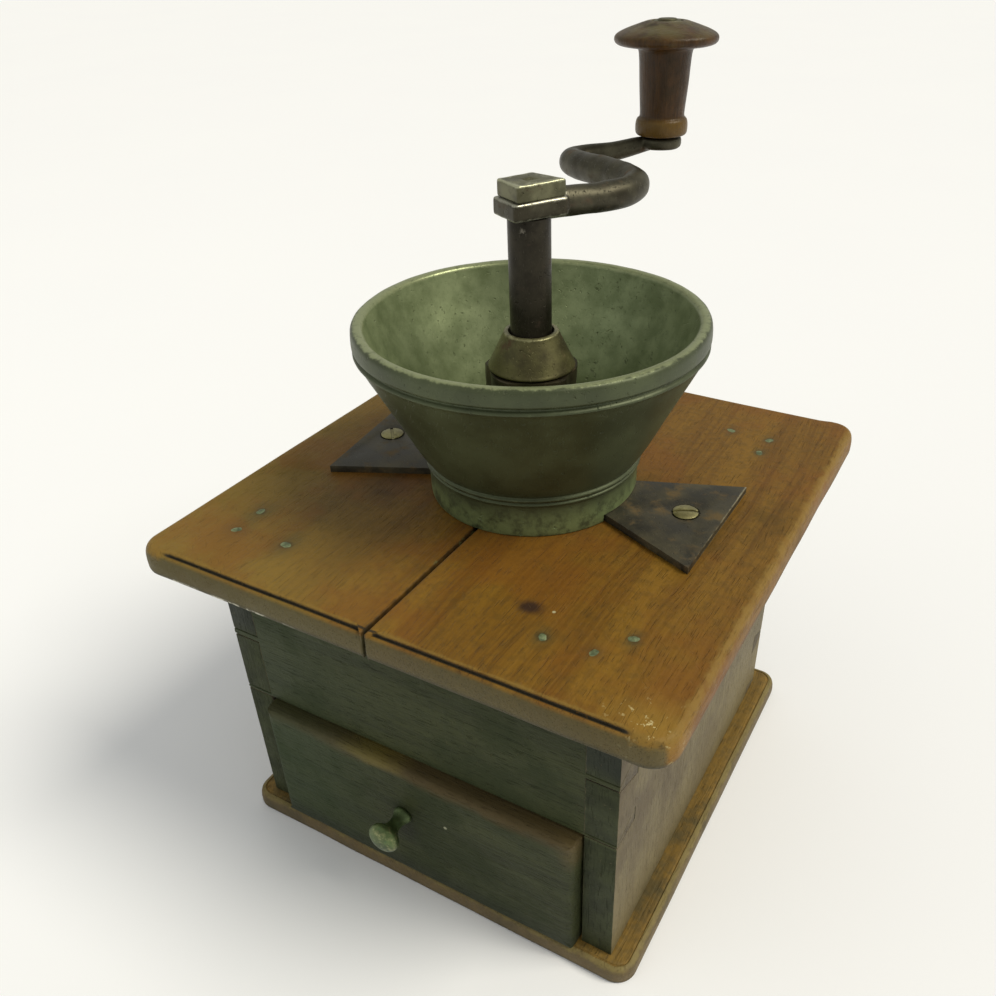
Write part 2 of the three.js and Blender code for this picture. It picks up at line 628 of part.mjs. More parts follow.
function acrossSpindle(radius, length) {
  return rodBetween(radius, -length / 2, length / 2, 10)
    .rotateY(Math.PI / 2).translate(0, 0, table + conePin.height);
}

const squareHalf = spindle.square / 2;
add('spindle', cut(join(
  turnedSolid([
    [spindle.foot - 0.8, spindleFoot], [spindle.foot, spindleFoot + 0.8],
    [spindle.foot, coneBottom - 1], [spindle.radius, coneBottom + 1], [spindle.radius, eyeBottom - seat],
  ], 24),
  block(-squareHalf, squareHalf, -squareHalf, squareHalf, eyeBottom - 1, eyeTop),
  rodBetween(spindle.stud, eyeTop - 1, eyeTop + spindle.studHeight, 16),
), acrossSpindle(conePin.radius + clearance, conePin.length)), 'forged_iron', millGroup);

function grindingCone() {
  const outline = [
    [bore, coneBottom], [cone.base - 1, coneBottom], [cone.base, coneBottom + 1.6],
    [cone.base - 0.6, coneBottom + 6], [THREE.MathUtils.lerp(cone.base, cone.waist, 0.35), table - 20],
    [THREE.MathUtils.lerp(cone.base, cone.waist, 0.55), table - 11],
    [THREE.MathUtils.lerp(cone.base, cone.waist, 0.8), table - 3],
    [cone.waist, table + 8], [cone.waist, table + 20], [cone.shoulder, coneTop - 4],
    [cone.shoulder, coneTop], [bore, coneTop],
  ];
  // fine teeth low down, a few bold breaking wings above them
  const toothed = worked(turned(outline, 40), (angle, z, r) => {
    if (r < bore + 1) return 0;
    if (z < table + wing.lowest - 1) return tooth(angle, z, cone.teeth, 0.03, -cone.toothDepth);
    return tooth(angle, z, wing.count, 0.012, wing.depth) - wing.depth / 2;
  });
  return cut(toothed, acrossSpindle(conePin.radius + clearance, 3 * cone.base));
}
add('grinding_cone', grindingCone(), 'burr_iron', millGroup);
add('cone_cap', turned([
  [bore, capBottom], [coneCap.foot - 0.6, capBottom], [coneCap.foot, capBottom + 0.8],
  [coneCap.foot - 1.2, capBottom + 0.4 * coneCap.height], [coneCap.top + 0.4, capTop - 1],
  [coneCap.top - 0.4, capTop], [bore, capTop],
], 28), 'forged_iron', millGroup);
add('cone_pin', acrossSpindle(conePin.radius, conePin.length), 'forged_iron', millGroup);

// A straight turned rod bent onto a curve: its height becomes the distance along the curve.
function bent(geometry, curve, length) {
  const p = geometry.attributes.position;
  const point = new THREE.Vector3();
  const side = new THREE.Vector3();
  const upward = new THREE.Vector3(0, 0, 1);
  for (let i = 0; i < p.count; i += 1) {
    const t = THREE.MathUtils.clamp(p.getZ(i) / length, 0, 1);
    curve.getPointAt(t, point);
    side.crossVectors(upward, curve.getTangentAt(t)).normalize();
    point.addScaledVector(side, p.getX(i)).addScaledVector(upward, p.getY(i));
    p.setXYZ(i, point.x, point.y, point.z);
  }
  return geometry;
}

function rodRadius(share) {
  const i = Math.max(1, rodRadii.findIndex(([at]) => at >= share));
  const [[s0, r0], [s1, r1]] = [rodRadii[i - 1], rodRadii[i]];
  return THREE.MathUtils.mapLinear(share, s0, s1, r0, r1);
}

const crankGroup = new THREE.Group();
crankGroup.position.z = eyeMiddle;
crankGroup.rotation.z = THREE.MathUtils.degToRad(crank.turn);
millGroup.add(crankGroup);

// The route's x is stretched from its first point so that the rod always reaches the handle.
function rodCurve() {
  const [start, end] = [rodRoute[0][0], rodRoute[rodRoute.length - 1][0]];
  const points = rodRoute.map(([x, y, rise]) => new THREE.Vector3(
    THREE.MathUtils.mapLinear(x, start, end, start, crank.radius - rodInset), y, rise,
  ));
  return new THREE.CatmullRomCurve3(points, false, 'centripetal');
}

function crankArm() {
  const curve = rodCurve();
  const length = curve.getLength();
  const steps = 32;
  const profile = Array.from({ length: steps + 1 }, (_, i) => [rodRadius(i / steps), (i / steps) * length]);
  const arm = bent(turnedSolid(profile, 12), curve, length);
  const [across, thick] = [crankEye.across / 2, crankEye.height / 2];
  const eye = block(-across, across, -crankEye.behind, crankEye.reach, -thick, thick)
    .rotateZ(THREE.MathUtils.degToRad(crankEye.turn - 90));
  const [low, high] = [endEye.rise - endEye.height / 2, endEye.rise + endEye.height / 2];
  const handleEye = turnedSolid([
    [endEye.radius - endEye.edge, low], [endEye.radius, low + endEye.edge],
    [endEye.radius, high - endEye.edge], [endEye.radius - endEye.edge, high],
  ], 24).translate(crank.radius, 0, 0);
  const half = squareHalf + clearance;
  return cut(
    join(eye, arm, handleEye),
    block(-half, half, -half, half, -2 * thick, 2 * thick).rotateZ(-crankGroup.rotation.z),
    rodBetween(handlePin.radius + clearance, low - 1, high + 1, 16).translate(crank.radius, 0, 0),
  );
}
add('crank_arm', crankArm(), 'forged_iron', crankGroup);

// The nut is blind: the spindle's stud ends inside it, and its top has a small centre mark.
const nutBottom = crankEye.height / 2 + seat;
const nutTop = nutBottom + crankNut.height;
add('crank_nut', cut(
  prism(nutCorners, nutBottom, nutTop),
  rodBetween(spindle.stud + clearance, nutBottom - 1, nutTop - crankNut.cap, 16),
  rodBetween(crankNut.dimple, nutTop - crankNut.dimpleDepth, nutTop + 1, 12),
), 'forged_iron', crankGroup);

// ---- handle on its riveted pin ----

const handleGroup = new THREE.Group();
handleGroup.position.x = crank.radius;
crankGroup.add(handleGroup);

const endLow = endEye.rise - endEye.height / 2;
const handleBottom = endLow + endEye.height + clearance;
const handleTop = handleBottom + handle.height;
const pinBore = handlePin.radius + clearance;
const recess = handleTop - handlePin.washerHeight - seat;
const alongHandle = (share) => handleBottom + share * handle.height;
add('handle', turned([
  [pinBore, handleBottom], [handle.foot - 0.7, handleBottom], [handle.foot, alongHandle(0.03)],
  [handle.foot, alongHandle(0.14)], [handle.neck + 0.2, alongHandle(0.18)], [handle.neck, alongHandle(0.32)],
  [handle.throat, alongHandle(0.7)], [handle.throat + 1.6, alongHandle(0.78)],
  [handle.cap - 2, alongHandle(0.825)], [handle.cap, alongHandle(0.865)], [handle.cap - 1.2, alongHandle(0.905)],
  [handle.cap - 4.6, alongHandle(0.94)], [handle.cap - 9, alongHandle(0.98)],
  [handlePin.washer + 1.4, handleTop], [handlePin.washer + clearance, handleTop],
  [handlePin.washer + clearance, recess], [pinBore, recess],
], 32), 'handle_wood', handleGroup);
const washerBottom = recess + seat;
const washerTop = washerBottom + handlePin.washerHeight;
add('pin_washer', turned([
  [pinBore, washerBottom], [handlePin.washer, washerBottom],
  [handlePin.washer - 0.3, washerTop], [pinBore, washerTop],
], 24), 'forged_iron', handleGroup);
const rivetTop = endLow - seat;
add('handle_pin', turnedSolid([
  [handlePin.rivet - 0.6, rivetTop - handlePin.rivetHeight], [handlePin.rivet, rivetTop],
  [handlePin.radius, rivetTop], [handlePin.radius, washerTop + seat],
  [handlePin.radius + 0.9, washerTop + seat], [handlePin.radius + 0.4, washerTop + seat + handlePin.head],
], 16), 'forged_iron', handleGroup);

export default model;
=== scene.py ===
import math

import bmesh
import bpy
import numpy as np
from mathutils import Matrix, Vector


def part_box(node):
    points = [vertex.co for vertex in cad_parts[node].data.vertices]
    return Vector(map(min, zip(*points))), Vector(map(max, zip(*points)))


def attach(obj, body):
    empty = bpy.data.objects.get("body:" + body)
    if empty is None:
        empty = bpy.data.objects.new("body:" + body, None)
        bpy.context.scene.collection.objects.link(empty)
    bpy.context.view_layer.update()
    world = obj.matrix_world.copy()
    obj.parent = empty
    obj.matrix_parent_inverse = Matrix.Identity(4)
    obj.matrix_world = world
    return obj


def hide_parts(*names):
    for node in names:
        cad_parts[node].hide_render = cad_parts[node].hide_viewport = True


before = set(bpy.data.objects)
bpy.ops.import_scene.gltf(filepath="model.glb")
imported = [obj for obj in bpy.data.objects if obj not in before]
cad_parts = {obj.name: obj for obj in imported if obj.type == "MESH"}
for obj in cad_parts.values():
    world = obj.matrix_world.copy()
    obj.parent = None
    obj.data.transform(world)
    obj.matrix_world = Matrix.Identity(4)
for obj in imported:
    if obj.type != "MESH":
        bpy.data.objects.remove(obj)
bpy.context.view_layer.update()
mm = 0.001


def boxOf(node):  # a CAD node's lowest and highest corner, in millimetres
    low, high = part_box(node)
    return np.array(low) / mm, np.array(high) / mm


table = boxOf("top_plank_left")[1][2]  # upper face of the top
millX, millY = sum(boxOf("cone_cap"))[:2] / 2  # the upright axis of the mill


studio = {
    "azimuth": 30.13, "elevation": 34.56, "roll": -1.3, "lens": 32.86, "shift": (-0.03165, 0.04236),
    "place": (134.5, -230.2, 284.8),  # millimetres
    "sun": 2.2, "sunColour": (1.0, 0.95, 0.80), "sunAngle": 26, "sunFrom": (0.80, 0.22, 1.0),
    "fill": 0.9, "fillColour": (0.9, 1.0, 0.9), "fillSize": (1.2, 0.9),  # metres, as are the next two
    "fillPlace": (-0.7, -0.9, 0.7), "fillTarget": (0, 0, 0.12),
    "sky": 0.50, "skyColour": (1.0, 1.0, 0.93),
    "floor": 14000, "floorDepth": 0.02, "floorTones": ((0.92, 0.93, 0.99), (0.94, 0.95, 1.0)),
}


def addObject(name, data):  # a new object in the scene
    made = bpy.data.objects.new(name, data)
    bpy.context.scene.collection.objects.link(made)
    return made


# The camera's right is up crossed with the way back to it. Right and up are then rolled about that way.
def makeCamera():
    azimuth, elevation, roll = (math.radians(studio[key]) for key in ("azimuth", "elevation", "roll"))
    back = Vector((math.sin(azimuth) * math.cos(elevation), -math.cos(azimuth) * math.cos(elevation),
                   math.sin(elevation)))
    right = Vector((0, 0, 1)).cross(back).normalized()
    up = back.cross(right)
    tiltedRight = right * math.cos(roll) + up * math.sin(roll)
    tiltedUp = up * math.cos(roll) - right * math.sin(roll)
    data = bpy.data.cameras.new("camera")
    data.lens = studio["lens"]
    data.sensor_width = 36
    data.shift_x, data.shift_y = studio["shift"]
    data.clip_start = 0.01
    camera = addObject("camera", data)
    camera.matrix_world = Matrix.Translation(Vector(studio["place"]) * mm) @ Matrix(
        (tiltedRight, tiltedUp, back)).transposed().to_4x4()
    bpy.context.scene.camera = camera


def makeFill():
    data = bpy.data.lights.new("fill", "AREA")
    data.shape = "RECTANGLE"
    data.size, data.size_y = studio["fillSize"]
    data.energy, data.color = studio["fill"], studio["fillColour"]
    place, target = Vector(studio["fillPlace"]), Vector(studio["fillTarget"])
    turn = (place - target).to_track_quat("Z", "Y").to_matrix().to_4x4()
    addObject("fill", data).matrix_world = Matrix.Translation(place) @ turn


def makeStudio():
    makeCamera()
    makeFill()
    data = bpy.data.lights.new("sun", "SUN")
    data.energy, data.angle, data.color = studio["sun"], math.radians(studio["sunAngle"]), studio["sunColour"]
    sun = addObject("sun", data)
    sun.matrix_world = Vector(studio["sunFrom"]).to_track_quat("Z", "Y").to_matrix().to_4x4()
    world = bpy.data.worlds.new("studio")
    world.use_nodes = True
    background = world.node_tree.nodes["Background"]
    background.inputs["Color"].default_value = (*studio["skyColour"], 1)
    background.inputs["Strength"].default_value = studio["sky"]
    bpy.context.scene.world = world
    bpy.context.scene.view_settings.view_transform = "Standard"
    print("studio ready")


# Smooth unevenness between -1 and 1: the mean of several sine waves in seeded directions.
# Wavelengths lie between about 0.6 and 1.7 times the given length.
def unevenness(points, length, seed, waves=8):
    rng = np.random.default_rng(seed)
    directions = rng.normal(size=(waves, points.shape[-1]))
    directions /= np.linalg.norm(directions, axis=1, keepdims=True)
    rates = 2 * np.pi / length * rng.uniform(0.6, 1.7, (waves, 1))
    phases = rng.uniform(0, 2 * np.pi, waves)
    return np.sin(points @ (directions * rates).T + phases).mean(axis=-1) * 1.8


# Corner cutting: every side is replaced by the points a quarter and three quarters along it.
def eased(points, rounds=2, closed=False):
    points = np.asarray(points, float)
    for _ in range(rounds):
        following = np.roll(points, -1, axis=0) if closed else points[1:]
        start = points if closed else points[:-1]
        pairs = np.stack([0.75 * start + 0.25 * following, 0.25 * start + 0.75 * following], axis=1)
        cutPoints = pairs.reshape(-1, points.shape[1])
        points = cutPoints if closed else np.concatenate([points[:1], cutPoints[1:-1], points[-1:]])
    return points


# Adds evenly spaced points so that no side of the profile is longer than the given step.
def denser(points, step, closed=False):
    points = np.asarray(points, float)
    ends = np.roll(points, -1, axis=0) if closed else points[1:]
    starts = points if closed else points[:-1]
    counts = np.maximum(1, np.ceil(np.linalg.norm((ends - starts)[:, :2], axis=1) / step).astype(int))
    pieces = [a + (b - a) * (np.arange(n) / n)[:, None] for a, b, n in zip(starts, ends, counts)]
    return np.concatenate(pieces if closed else pieces + [points[-1:]])


# Quads between the rows and columns of a grid. Columns always close on themselves.
def gridQuads(rows, columns, wrapRows):
    index = np.arange(rows * columns).reshape(rows, columns)
    across = np.roll(index, -1, axis=1)
    upper = np.roll(index, -1, axis=0)
    upperAcross = np.roll(across, -1, axis=0)
    quads = np.stack([index, across, upperAcross, upper], axis=-1)
    return (quads if wrapRows else quads[:-1]).reshape(-1, 4)


# Makes a mesh object from a grid of points in millimetres, with named values on its points.
# Open ends are closed with a point in the middle of the first and of the last row.
def gridPiece(name, grid, values, wrapRows=False, caps=True, sharpAngle=35):
    rows, columns = grid.shape[:2]
    points = grid.reshape(-1, 3)
    faces = gridQuads(rows, columns, wrapRows).tolist()
    named = {key: np.broadcast_to(value, (rows, columns)).reshape(-1) for key, value in values.items()}
    if caps and not wrapRows:
        first, last = grid[0].mean(axis=0), grid[-1].mean(axis=0)
        points = np.vstack([points, first, last])
        low, high = rows * columns, rows * columns + 1
        around = np.arange(columns)
        after = np.roll(around, -1)
        top = (rows - 1) * columns
        faces += np.stack([np.full(columns, low), after, around], axis=-1).tolist()
        faces += np.stack([np.full(columns, high), top + around, top + after], axis=-1).tolist()
        named = {key: np.append(value, [value[0], value[-1]]) for key, value in named.items()}
    return meshPiece(name, points, faces, named, sharpAngle)


def addValue(mesh, name, values):  # one value for each point
    mesh.attributes.new(name, "FLOAT", "POINT").data.foreach_set("value", np.asarray(values, np.float32))


def pointsOf(mesh, key="co"):  # where every point is, in metres, or its normal
    points = np.empty(len(mesh.vertices) * 3, np.float32)
    mesh.vertices.foreach_get(key, points)
    return points.reshape(-1, 3)


def meshPiece(name, points, faces, named, sharpAngle=35):
    mesh = bpy.data.meshes.new(name)
    mesh.from_pydata((points * mm).tolist(), [], faces)
    for key, value in named.items():
        addValue(mesh, key, value)
    piece = addObject(name, mesh)
    finishShading(mesh, sharpAngle)
    return piece


# Joins doubled points, turns the faces outwards and shades smoothly but for edges over the sharp angle.
def finishShading(mesh, sharpAngle):
    work = bmesh.new()
    work.from_mesh(mesh)
    bmesh.ops.remove_doubles(work, verts=work.verts, dist=1e-7)
    bmesh.ops.dissolve_degenerate(work, dist=1e-7, edges=work.edges)
    bmesh.ops.recalc_face_normals(work, faces=work.faces)
    work.to_mesh(mesh)
    work.free()
    mesh.polygons.foreach_set("use_smooth", [True] * len(mesh.polygons))
    mesh.set_sharp_from_angle(angle=math.radians(sharpAngle))
    mesh.update()


# A profile of (radius, height, ...) turned about the upright axis through a place.
def turnedGrid(profile, place, sides):
    angles = np.linspace(0, 2 * np.pi, sides, endpoint=False)
    radius, height = profile[:, 0][:, None], profile[:, 1][:, None]
    x = place[0] + radius * np.cos(angles)
    y = place[1] + radius * np.sin(angles)
    z = place[2] + height + 0 * angles
    return np.stack([x, y, z], axis=-1)


# One ring of a rounded rectangle in its own plane: four quarter arcs joined by four straight sides.
# inset holds one value for each point. It moves the sides inwards and shrinks the corners by as much,
# so rings never cross, and the innermost ring closes to a line.
class RoundedRectangle:
    def __init__(self, half, radii, sidePoints=90, cornerPoints=10):
        self.half = np.array(half, float)
        self.radii = np.array(radii, float)
        arc = np.linspace(0, 1, cornerPoints)
        side = np.arange(1, sidePoints + 1) / (sidePoints + 1)
        self.corner = np.repeat(np.arange(4), cornerPoints + sidePoints)
        self.share = np.tile(np.concatenate([np.zeros(cornerPoints), side]), 4)
        turn = np.tile(np.concatenate([arc, np.ones(sidePoints)]), 4)
        self.angle = np.radians(180 + 90 * (self.corner + turn))
        self.normal = np.stack([np.cos(self.angle), np.sin(self.angle)], axis=-1)

    def cornerPoint(self, corner, angle, inset):
        signs = np.array([[-1, -1], [1, -1], [1, 1], [-1, 1]])[corner]
        radius = np.maximum(self.radii[corner] - inset, 0)[..., None]
        middle = signs * np.maximum(self.half - inset[..., None] - radius, 0)
        return middle + radius * np.stack([np.cos(angle), np.sin(angle)], axis=-1)

    def ring(self, inset):
        inset = np.broadcast_to(inset, self.angle.shape)
        start = self.cornerPoint(self.corner, self.angle, inset)
        end = self.cornerPoint((self.corner + 1) % 4, self.angle, inset)
        return start + (end - start) * self.share[:, None]


# A board as rows of rings. Each profile is a list of (inset, height, wear), and the weights say how much of
# each profile a point of the ring takes. Inner rings cover both faces and close on the middle line.
# place turns ring axes into X, Y and Z.
def boardPiece(name, outline, profiles, weights, place, uneven=(0.12, 40, 1), innerRows=8):
    easedProfiles = [eased(profile, 2) for profile in profiles]
    blended = sum(p[:, None, :] * w[None, :, None] for p, w in zip(easedProfiles, weights))
    deepest = outline.half.min()
    inwards = (np.arange(1, innerRows + 1) / innerRows)[:, None]

    def face(edgeRow):  # from the edge row towards the middle line
        flatRow = edgeRow[None, :, 1] + 0 * inwards
        return np.stack([edgeRow[None, :, 0] + (deepest - edgeRow[None, :, 0]) * inwards, flatRow,
                         edgeRow[None, :, 2] * (1 - inwards)], axis=-1)

    rows = np.concatenate([face(blended[0])[::-1], blended, face(blended[-1])])
    amplitude, length, seed = uneven
    rings = np.stack([outline.ring(row[:, 0]) for row in rows])
    flat = np.concatenate([rings, rows[..., 1:2]], axis=-1)
    nearEdge = (np.exp(-rows[..., 0] / 6) * (1 - rows[..., 0] / deepest))[..., None]
    sideways = unevenness(flat, length, seed)[..., None] * outline.normal * amplitude
    lift = unevenness(flat, length * 1.4, seed + 1) * amplitude * 0.8
    flat[..., :2] += sideways * nearEdge
    flat[..., 2] += np.where(rows[..., 1] > blended[..., 1].mean(), lift, 0)
    return gridPiece(name, place(flat), {"wear": rows[..., 2], "inward": rows[..., 0]}, caps=False)


def horizontal(centre, bottom):
    return lambda flat: flat + np.array([centre[0], centre[1], bottom])


# A copy of a CAD node, welded, with coplanar triangles joined and its edges rounded.
def easedCopy(node, width):  # width in millimetres
    words = node.split("_")
    name = words[0] + "".join(word.title() for word in words[1:])
    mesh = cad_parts[node].data.copy()
    mesh.name = name
    mesh.transform(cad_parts[node].matrix_world)
    work = bmesh.new()
    work.from_mesh(mesh)
    bmesh.ops.remove_doubles(work, verts=work.verts, dist=2e-6)
    bmesh.ops.dissolve_limit(work, angle_limit=math.radians(2), verts=work.verts, edges=work.edges)
    work.to_mesh(mesh)
    work.free()
    mesh.materials.clear()
    piece = addObject(name, mesh)
    bevel = piece.modifiers.new("arris", "BEVEL")
    bevel.width = width * mm
    bevel.segments = 2
    bevel.limit_method = "ANGLE"
    bevel.angle_limit = math.radians(40)
    settle(piece, 30)
    return piece


# Replaces a piece's mesh by what its modifiers make of it.
def settle(piece, sharpAngle=35):
    made = bpy.data.meshes.new_from_object(piece.evaluated_get(bpy.context.evaluated_depsgraph_get()))
    piece.modifiers.clear()
    old, piece.data = piece.data, made
    made.name = old.name
    bpy.data.meshes.remove(old)
    finishShading(made, sharpAngle)


def cutAway(piece, cutter, sharpAngle=35):  # takes the cutter out of the piece
    change = piece.modifiers.new("cut", "BOOLEAN")
    change.operation = "DIFFERENCE"
    change.object = cutter
    change.solver = "EXACT"
    settle(piece, sharpAngle)
    bpy.data.objects.remove(cutter)


# One mesh of several upright cylinders (x, y, radius, low, high), for holes.
def drillBits(holes, sides=28):
    angles = np.linspace(0, 2 * np.pi, sides, endpoint=False)
    points, faces = [], []
    for x, y, radius, low, high in holes:
        start = len(points)
        for z in (low, high):
            points += np.stack([x + radius * np.cos(angles), y + radius * np.sin(angles), 0 * angles + z],
                               axis=-1).tolist()
        ring = [start + i for i in range(sides)]
        faces += [[ring[i], ring[(i + 1) % sides], ring[(i + 1) % sides] + sides, ring[i] + sides]
                  for i in range(sides)]
        faces += [ring[::-1], [i + sides for i in ring]]
    return meshPiece("drillBits", np.array(points), faces, {})


def place(piece, body, node, slot, material):
    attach(piece, body)
    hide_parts(node)
    piece.data.materials.clear()
    piece.data.materials.append(material)


def placeCopy(node, width, body, slot, material):
    place(easedCopy(node, width), body, node, slot, material)


def addNode(tree, kind, inputs=None, **settings):
    made = tree.nodes.new("ShaderNode" + kind)
    for key, value in settings.items():
        setattr(made, key, value)
    for key, value in (inputs or {}).items():
        if isinstance(value, bpy.types.NodeSocket):
            tree.links.new(value, made.inputs[key])
        else:
            made.inputs[key].default_value = value
    return made


def math2(tree, operation, a, b=0.0, clamp=False):
    return addNode(tree, "Math", {0: a, 1: b}, operation=operation, use_clamp=clamp).outputs[0]


def times(tree, a, b):
    return math2(tree, "MULTIPLY", a, b)


def plus(tree, a, b):
    return math2(tree, "ADD", a, b)


def minus(tree, a, b):
    return math2(tree, "SUBTRACT", a, b)


def awayFrom(tree, value, level):
    return math2(tree, "ABSOLUTE", minus(tree, value, level))


def partsOf(tree, vector):  # X, Y and Z of a vector
    return addNode(tree, "SeparateXYZ", {0: vector}).outputs


def faceNormal(tree):
    return partsOf(tree, addNode(tree, "NewGeometry").outputs["True Normal"])


def stored(tree, name):  # a value kept on the mesh's points
    return addNode(tree, "Attribute", attribute_name=name, attribute_type="GEOMETRY").outputs["Fac"]


def vectorMath(tree, operation, *values):
    return addNode(tree, "VectorMath", dict(enumerate(values)), operation=operation).outputs[0]


def ranged(tree, value, low, high, toLow=0.0, toHigh=1.0):
    return addNode(tree, "MapRange", {"Value": value, "From Min": low, "From Max": high, "To Min": toLow,
                                      "To Max": toHigh}, interpolation_type="SMOOTHSTEP").outputs["Result"]


def mixed(tree, share, a, b):
    a, b = (tone if isinstance(tone, bpy.types.NodeSocket) else (*tone, 1) for tone in (a, b))
    return addNode(tree, "Mix", {0: share, 6: a, 7: b}, data_type="RGBA").outputs[2]


# A colour with part of a second one over it, where the mask shows.
def tinted(tree, colour, tone, mask, share):
    return mixed(tree, times(tree, mask, share), colour, tone)


def noiseOf(tree, vector, scale, detail=3.0, roughness=0.55):
    return addNode(tree, "TexNoise", {"Vector": vector, "Scale": scale, "Detail": detail,
                                      "Roughness": roughness}).outputs["Fac"]


def stretched(tree, vector, factors):  # each axis times its own factor
    return vectorMath(tree, "MULTIPLY", vector, factors)


def newGroup(name, inputs, outputs):
    group = bpy.data.node_groups.new(name, "ShaderNodeTree")
    kinds = {"v": "NodeSocketVector", "f": "NodeSocketFloat"}
    for label, kind, value in inputs:
        socket = group.interface.new_socket(label, in_out="INPUT", socket_type=kinds[kind])
        if value is not None:
            socket.default_value = value
    for label, kind in outputs:
        group.interface.new_socket(label, in_out="OUTPUT", socket_type=kinds[kind])
    return group, group.nodes.new("NodeGroupInput").outputs, group.nodes.new("NodeGroupOutput").inputs


# Wood grain for a vector whose X runs along the fibres. Fibre is the fine lines, Figure the broad light and
# dark bands, and Pores the short dark dashes.
def makeGrainGroup():
    group, given, out = newGroup("woodGrain", [("Vector", "v", None), ("Scale", "f", 1.0)],
                                 [("Fibre", "f"), ("Figure", "f"), ("Pores", "f")])
    scaled = addNode(group, "VectorMath", {0: given["Vector"], "Scale": given["Scale"]},
                     operation="SCALE").outputs[0]
    sway = times(group, noiseOf(group, stretched(group, scaled, (9, 30, 30)), 1.0, 2), 0.012)
    bent = vectorMath(group, "ADD", scaled, addNode(group, "CombineXYZ", {"Y": sway}).outputs[0])
    fibre = noiseOf(group, stretched(group, bent, (22, 700, 700)), 1.0, 4, 0.65)
    figure = noiseOf(group, stretched(group, bent, (5, 95, 95)), 1.0, 3, 0.5)
    dashes = noiseOf(group, stretched(group, bent, (150, 2300, 2300)), 1.0, 2, 0.5)
    group.links.new(ranged(group, fibre, 0.28, 0.72), out["Fibre"])
    group.links.new(ranged(group, figure, 0.32, 0.68), out["Figure"])
    group.links.new(ranged(group, dashes, 0.60, 0.72), out["Pores"])
    return group


# Ragged patches: a noise held between two levels.
def makePatchGroup():
    group, given, out = newGroup("patches", [("Vector", "v", None), ("Scale", "f", 40.0), ("From", "f", 0.5),
                                             ("To", "f", 0.6)], [("Mask", "f")])
    value = noiseOf(group, given["Vector"], given["Scale"], 5.0, 0.62)
    group.links.new(ranged(group, value, given["From"], given["To"]), out["Mask"])
    return group


# Rubbed arrises: a wear value between 0 and 1, broken up by noise so that it comes and goes.
def makeRubGroup():
    group, given, out = newGroup("rubbedEdge", [("Vector", "v", None), ("Wear", "f", 0.0),
                                                ("Level", "f", 0.5), ("Scale", "f", 220.0)], [("Mask", "f")])
    coarse = noiseOf(group, given["Vector"], given["Scale"], 6.0, 0.7)
    lifted = plus(group, given["Wear"], times(group, minus(group, coarse, 0.5), 1.3))
    group.links.new(ranged(group, minus(group, lifted, given["Level"]), -0.15, 0.3), out["Mask"])
    return group


# A round spot on a surface: 1 at its middle, fading to 0 at its radius. Squash stretches it along an axis.
def makeSpotGroup():
    group, given, out = newGroup("spot", [("Vector", "v", None), ("Middle", "v", None),
                                          ("Squash", "v", (1, 1, 1)), ("Radius", "f", 0.01),
                                          ("Soft", "f", 0.5)], [("Mask", "f")])
    offset = vectorMath(group, "SUBTRACT", given["Vector"], given["Middle"])
    squashed = vectorMath(group, "MULTIPLY", offset, given["Squash"])
    length = addNode(group, "VectorMath", {0: squashed}, operation="LENGTH").outputs["Value"]
    ragged = times(group, noiseOf(group, given["Vector"], 160.0, 3), times(group, given["Radius"], 0.7))
    inner = times(group, given["Radius"], minus(group, 1.2, given["Soft"]))
    outer = times(group, given["Radius"], 1.35)
    group.links.new(ranged(group, plus(group, length, ragged), inner, outer, 1.0, 0.0), out["Mask"])
    return group


grainGroup, patchGroup = makeGrainGroup(), makePatchGroup()
rubGroup, spotGroup = makeRubGroup(), makeSpotGroup()


def useGroup(tree, group, inputs):
    return addNode(tree, "Group", inputs, node_tree=group).outputs


def newMaterial(name):
    material = bpy.data.materials.new(name)
    material.use_nodes = True
    tree = material.node_tree
    shader = tree.nodes["Principled BSDF"]
    vector = tree.nodes.new("ShaderNodeTexCoord").outputs["Object"]
    return material, tree, shader, vector


def bumped(tree, shader, height, distance, strength=1.0):
    bump = addNode(tree, "Bump", {"Height": height, "Distance": distance, "Strength": strength})
    tree.links.new(bump.outputs["Normal"], shader.inputs["Normal"])


def patches(tree, vector, scale, low, high):
    return useGroup(tree, patchGroup, {"Vector": vector, "Scale": scale, "From": low, "To": high})["Mask"]


def rubbed(tree, vector, wear, level, scale=220.0):
    return useGroup(tree, rubGroup, {"Vector": vector, "Wear": wear, "Level": level, "Scale": scale})["Mask"]


def spot(tree, vector, middle, radius, squash=(1, 1, 1), soft=0.5):
    return useGroup(tree, spotGroup, {"Vector": vector, "Middle": [v * mm for v in middle],
                                      "Radius": radius * mm, "Squash": squash, "Soft": soft})["Mask"]


# Spots of colour one after another, each given by its middle, radius, squash, softness, tone and share.
def marked(tree, vector, colour, marks):
    for middle, radius, squash, soft, tone, share in marks:
        colour = tinted(tree, colour, tone, spot(tree, vector, middle, radius, squash, soft), share)
    return colour


def lineAt(tree, value, level, width):  # 1 where the value is at a level, and 0 from the width's end on
    return ranged(tree, awayFrom(tree, value, level * mm), width[0] * mm, width[1] * mm, 1.0, 0.0)


def along(tree, vector, axis):  # turns the vector so that its X runs along the given axis
    turns = {"x": (0, 0, 0), "y": (0, 0, math.pi / 2), "z": (0, math.pi / 2, 0)}
    return addNode(tree, "Mapping", {"Vector": vector, "Rotation": turns[axis]},
                   vector_type="POINT").outputs[0]


